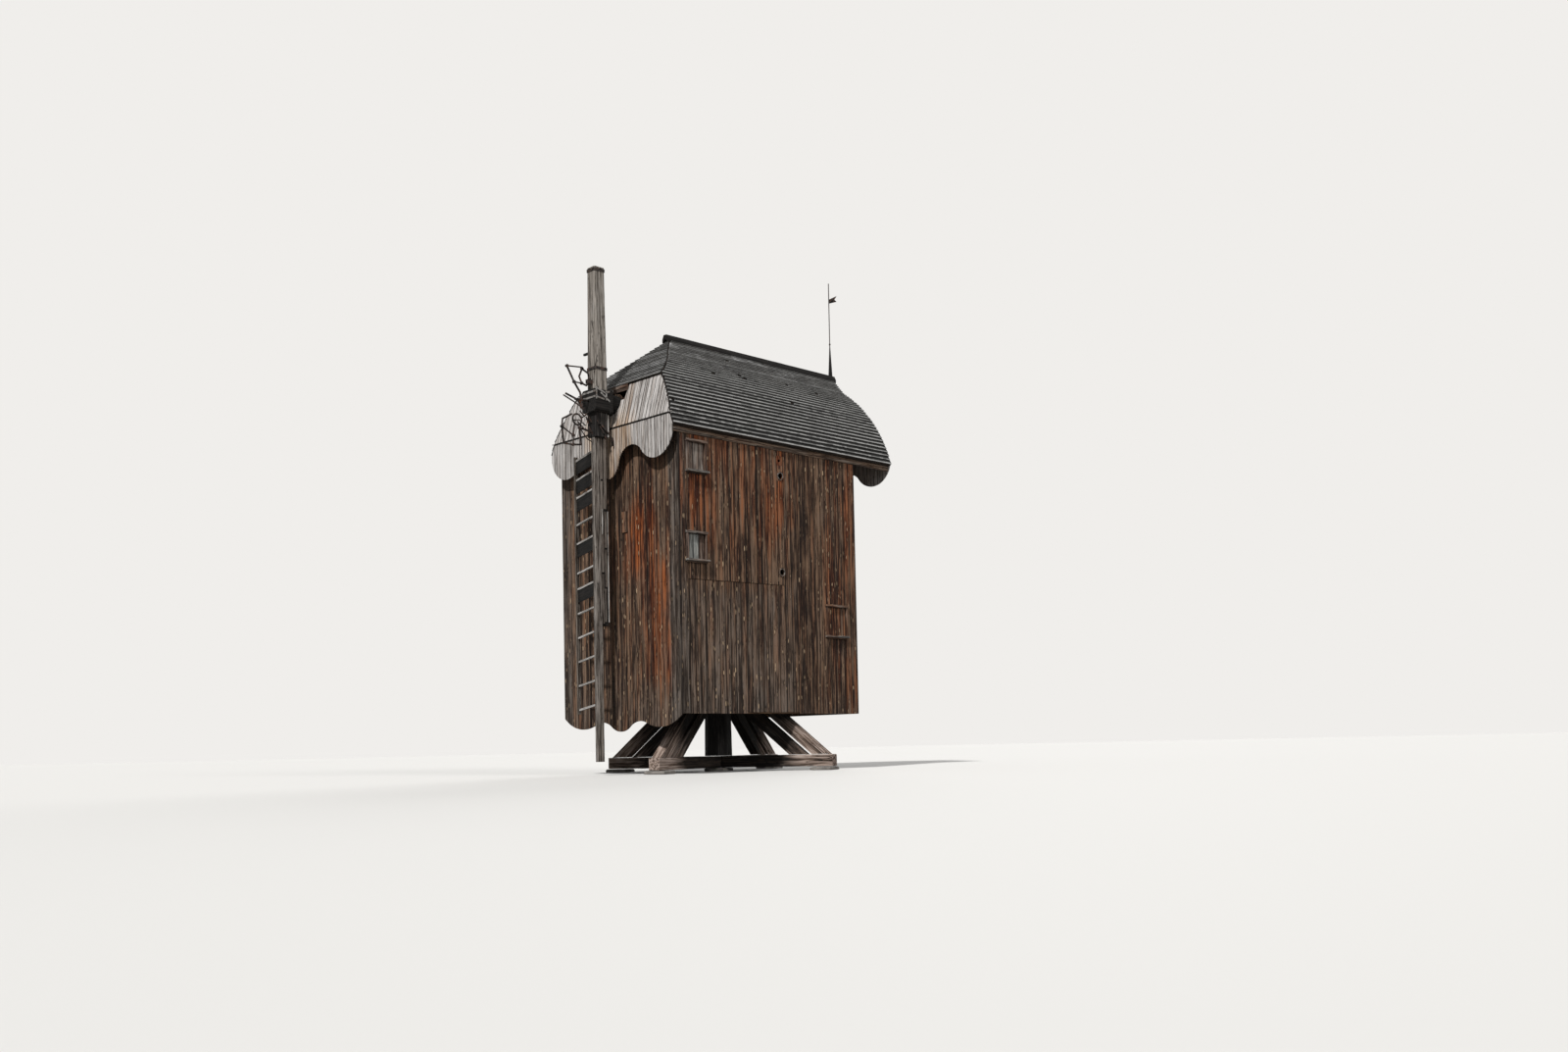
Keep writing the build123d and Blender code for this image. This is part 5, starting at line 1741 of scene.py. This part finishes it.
def add_sky(strength):
    """An even light from all round, and a pale backdrop where it is seen directly."""
    world = bpy.data.worlds.new("studio_sky")
    bpy.context.scene.world = world
    world.use_nodes = True
    tree = world.node_tree
    tree.nodes.clear()
    light = add_node(tree, "ShaderNodeBackground", {"Color": linear("#f4f7fb"), "Strength": strength})
    view = add_node(tree, "ShaderNodeBackground", {"Color": linear("#f0eeeb"), "Strength": 1.0})
    both = add_node(tree, "ShaderNodeMixShader", {
        0: seen_directly(tree), 1: light.outputs[0], 2: view.outputs[0]})
    add_node(tree, "ShaderNodeOutputWorld", {"Surface": both.outputs[0]})


def add_sun(name, direction, strength, angle):
    lamp = bpy.data.lights.new(name, "SUN")
    lamp.energy = strength
    lamp.angle = math.radians(angle)
    holder = bpy.data.objects.new(name, lamp)
    bpy.context.scene.collection.objects.link(holder)
    holder.rotation_mode = "QUATERNION"
    holder.rotation_quaternion = Vector((0, 0, 1)).rotation_difference(Vector(direction).normalized())


def add_camera():
    """A camera where the photograph was taken from, with its tilt, roll and shift."""
    fwd = Vector((-math.sin(CAMERA_AZIMUTH), math.cos(CAMERA_AZIMUTH), 0))
    right = Vector((math.cos(CAMERA_AZIMUTH), math.sin(CAMERA_AZIMUTH), 0))
    up = Vector((0, 0, 1))
    look = fwd * math.cos(CAMERA_PITCH) + up * math.sin(CAMERA_PITCH)
    above = -fwd * math.sin(CAMERA_PITCH) + up * math.cos(CAMERA_PITCH)
    axis_x = right * math.cos(CAMERA_ROLL) + above * math.sin(CAMERA_ROLL)
    axis_y = -right * math.sin(CAMERA_ROLL) + above * math.cos(CAMERA_ROLL)
    turn = Matrix((axis_x, axis_y, -look)).transposed().to_4x4()
    data = bpy.data.cameras.new("camera")
    data.sensor_width = 36.0
    data.lens = CAMERA_LENS
    data.shift_y = CAMERA_SHIFT_Y
    data.clip_end = 1000.0
    camera = bpy.data.objects.new("camera", data)
    bpy.context.scene.collection.objects.link(camera)
    camera.matrix_world = Matrix.Translation(CAMERA_PLACE) @ turn
    bpy.context.scene.camera = camera


class MILL_OT_studio(bpy.types.Operator):
    """Set the pale floor, the soft lights and the camera"""

    bl_idname = "mill.studio"
    bl_label = "Studio"

    def execute(self, context):
        facts = context.scene.mill_stage
        add_floor(facts.floor_colour)
        add_sky(facts.sky_strength)
        add_sun("key_light", (0.42, -1.0, 1.10), facts.sun_strength, 4)
        add_sun("fill_light", (1.0, -0.05, 0.40), facts.fill_strength, 25)
        add_sun("back_light", (-0.7, 1.0, 0.55), facts.back_strength, 25)
        add_camera()
        context.scene.view_settings.view_transform = "Standard"
        return {"FINISHED"}


class MILL_PT_panel(bpy.types.Panel):
    """Lists the pieces of the mill and their sizes"""

    bl_label = "Post Mill"
    bl_idname = "MILL_PT_panel"
    bl_space_type = "VIEW_3D"
    bl_region_type = "UI"
    bl_category = "Post Mill"

    def draw(self, context):
        column = self.layout.column()
        for group in (context.scene.mill_woodwork, context.scene.mill_roofing, context.scene.mill_stage):
            for name in group.__annotations__:
                column.prop(group, name)
        for operator in OPERATORS:
            column.operator(operator.bl_idname)


GROUPS = {"mill_woodwork": MillWoodwork, "mill_roofing": MillRoofing, "mill_stage": MillStage}
OPERATORS = (
    MILL_OT_studio, MILL_OT_trestle, MILL_OT_house_frame, MILL_OT_walls, MILL_OT_openings, MILL_OT_roof,
    MILL_OT_gables, MILL_OT_sails, MILL_OT_irons)
CLASSES = (*GROUPS.values(), *OPERATORS, MILL_PT_panel)


def register():
    for item in CLASSES:
        bpy.utils.register_class(item)
    for name, group in GROUPS.items():
        setattr(bpy.types.Scene, name, bpy.props.PointerProperty(type=group))


def unregister():
    for name in GROUPS:
        delattr(bpy.types.Scene, name)
    for item in reversed(CLASSES):
        bpy.utils.unregister_class(item)


def main():
    register()
    bpy.ops.mill.studio()
    bpy.ops.mill.trestle()
    bpy.ops.mill.house_frame()
    bpy.ops.mill.walls()
    bpy.ops.mill.openings()
    bpy.ops.mill.roof()
    bpy.ops.mill.gables()
    bpy.ops.mill.sails()
    bpy.ops.mill.irons()


if __name__ == "__main__":
    main()
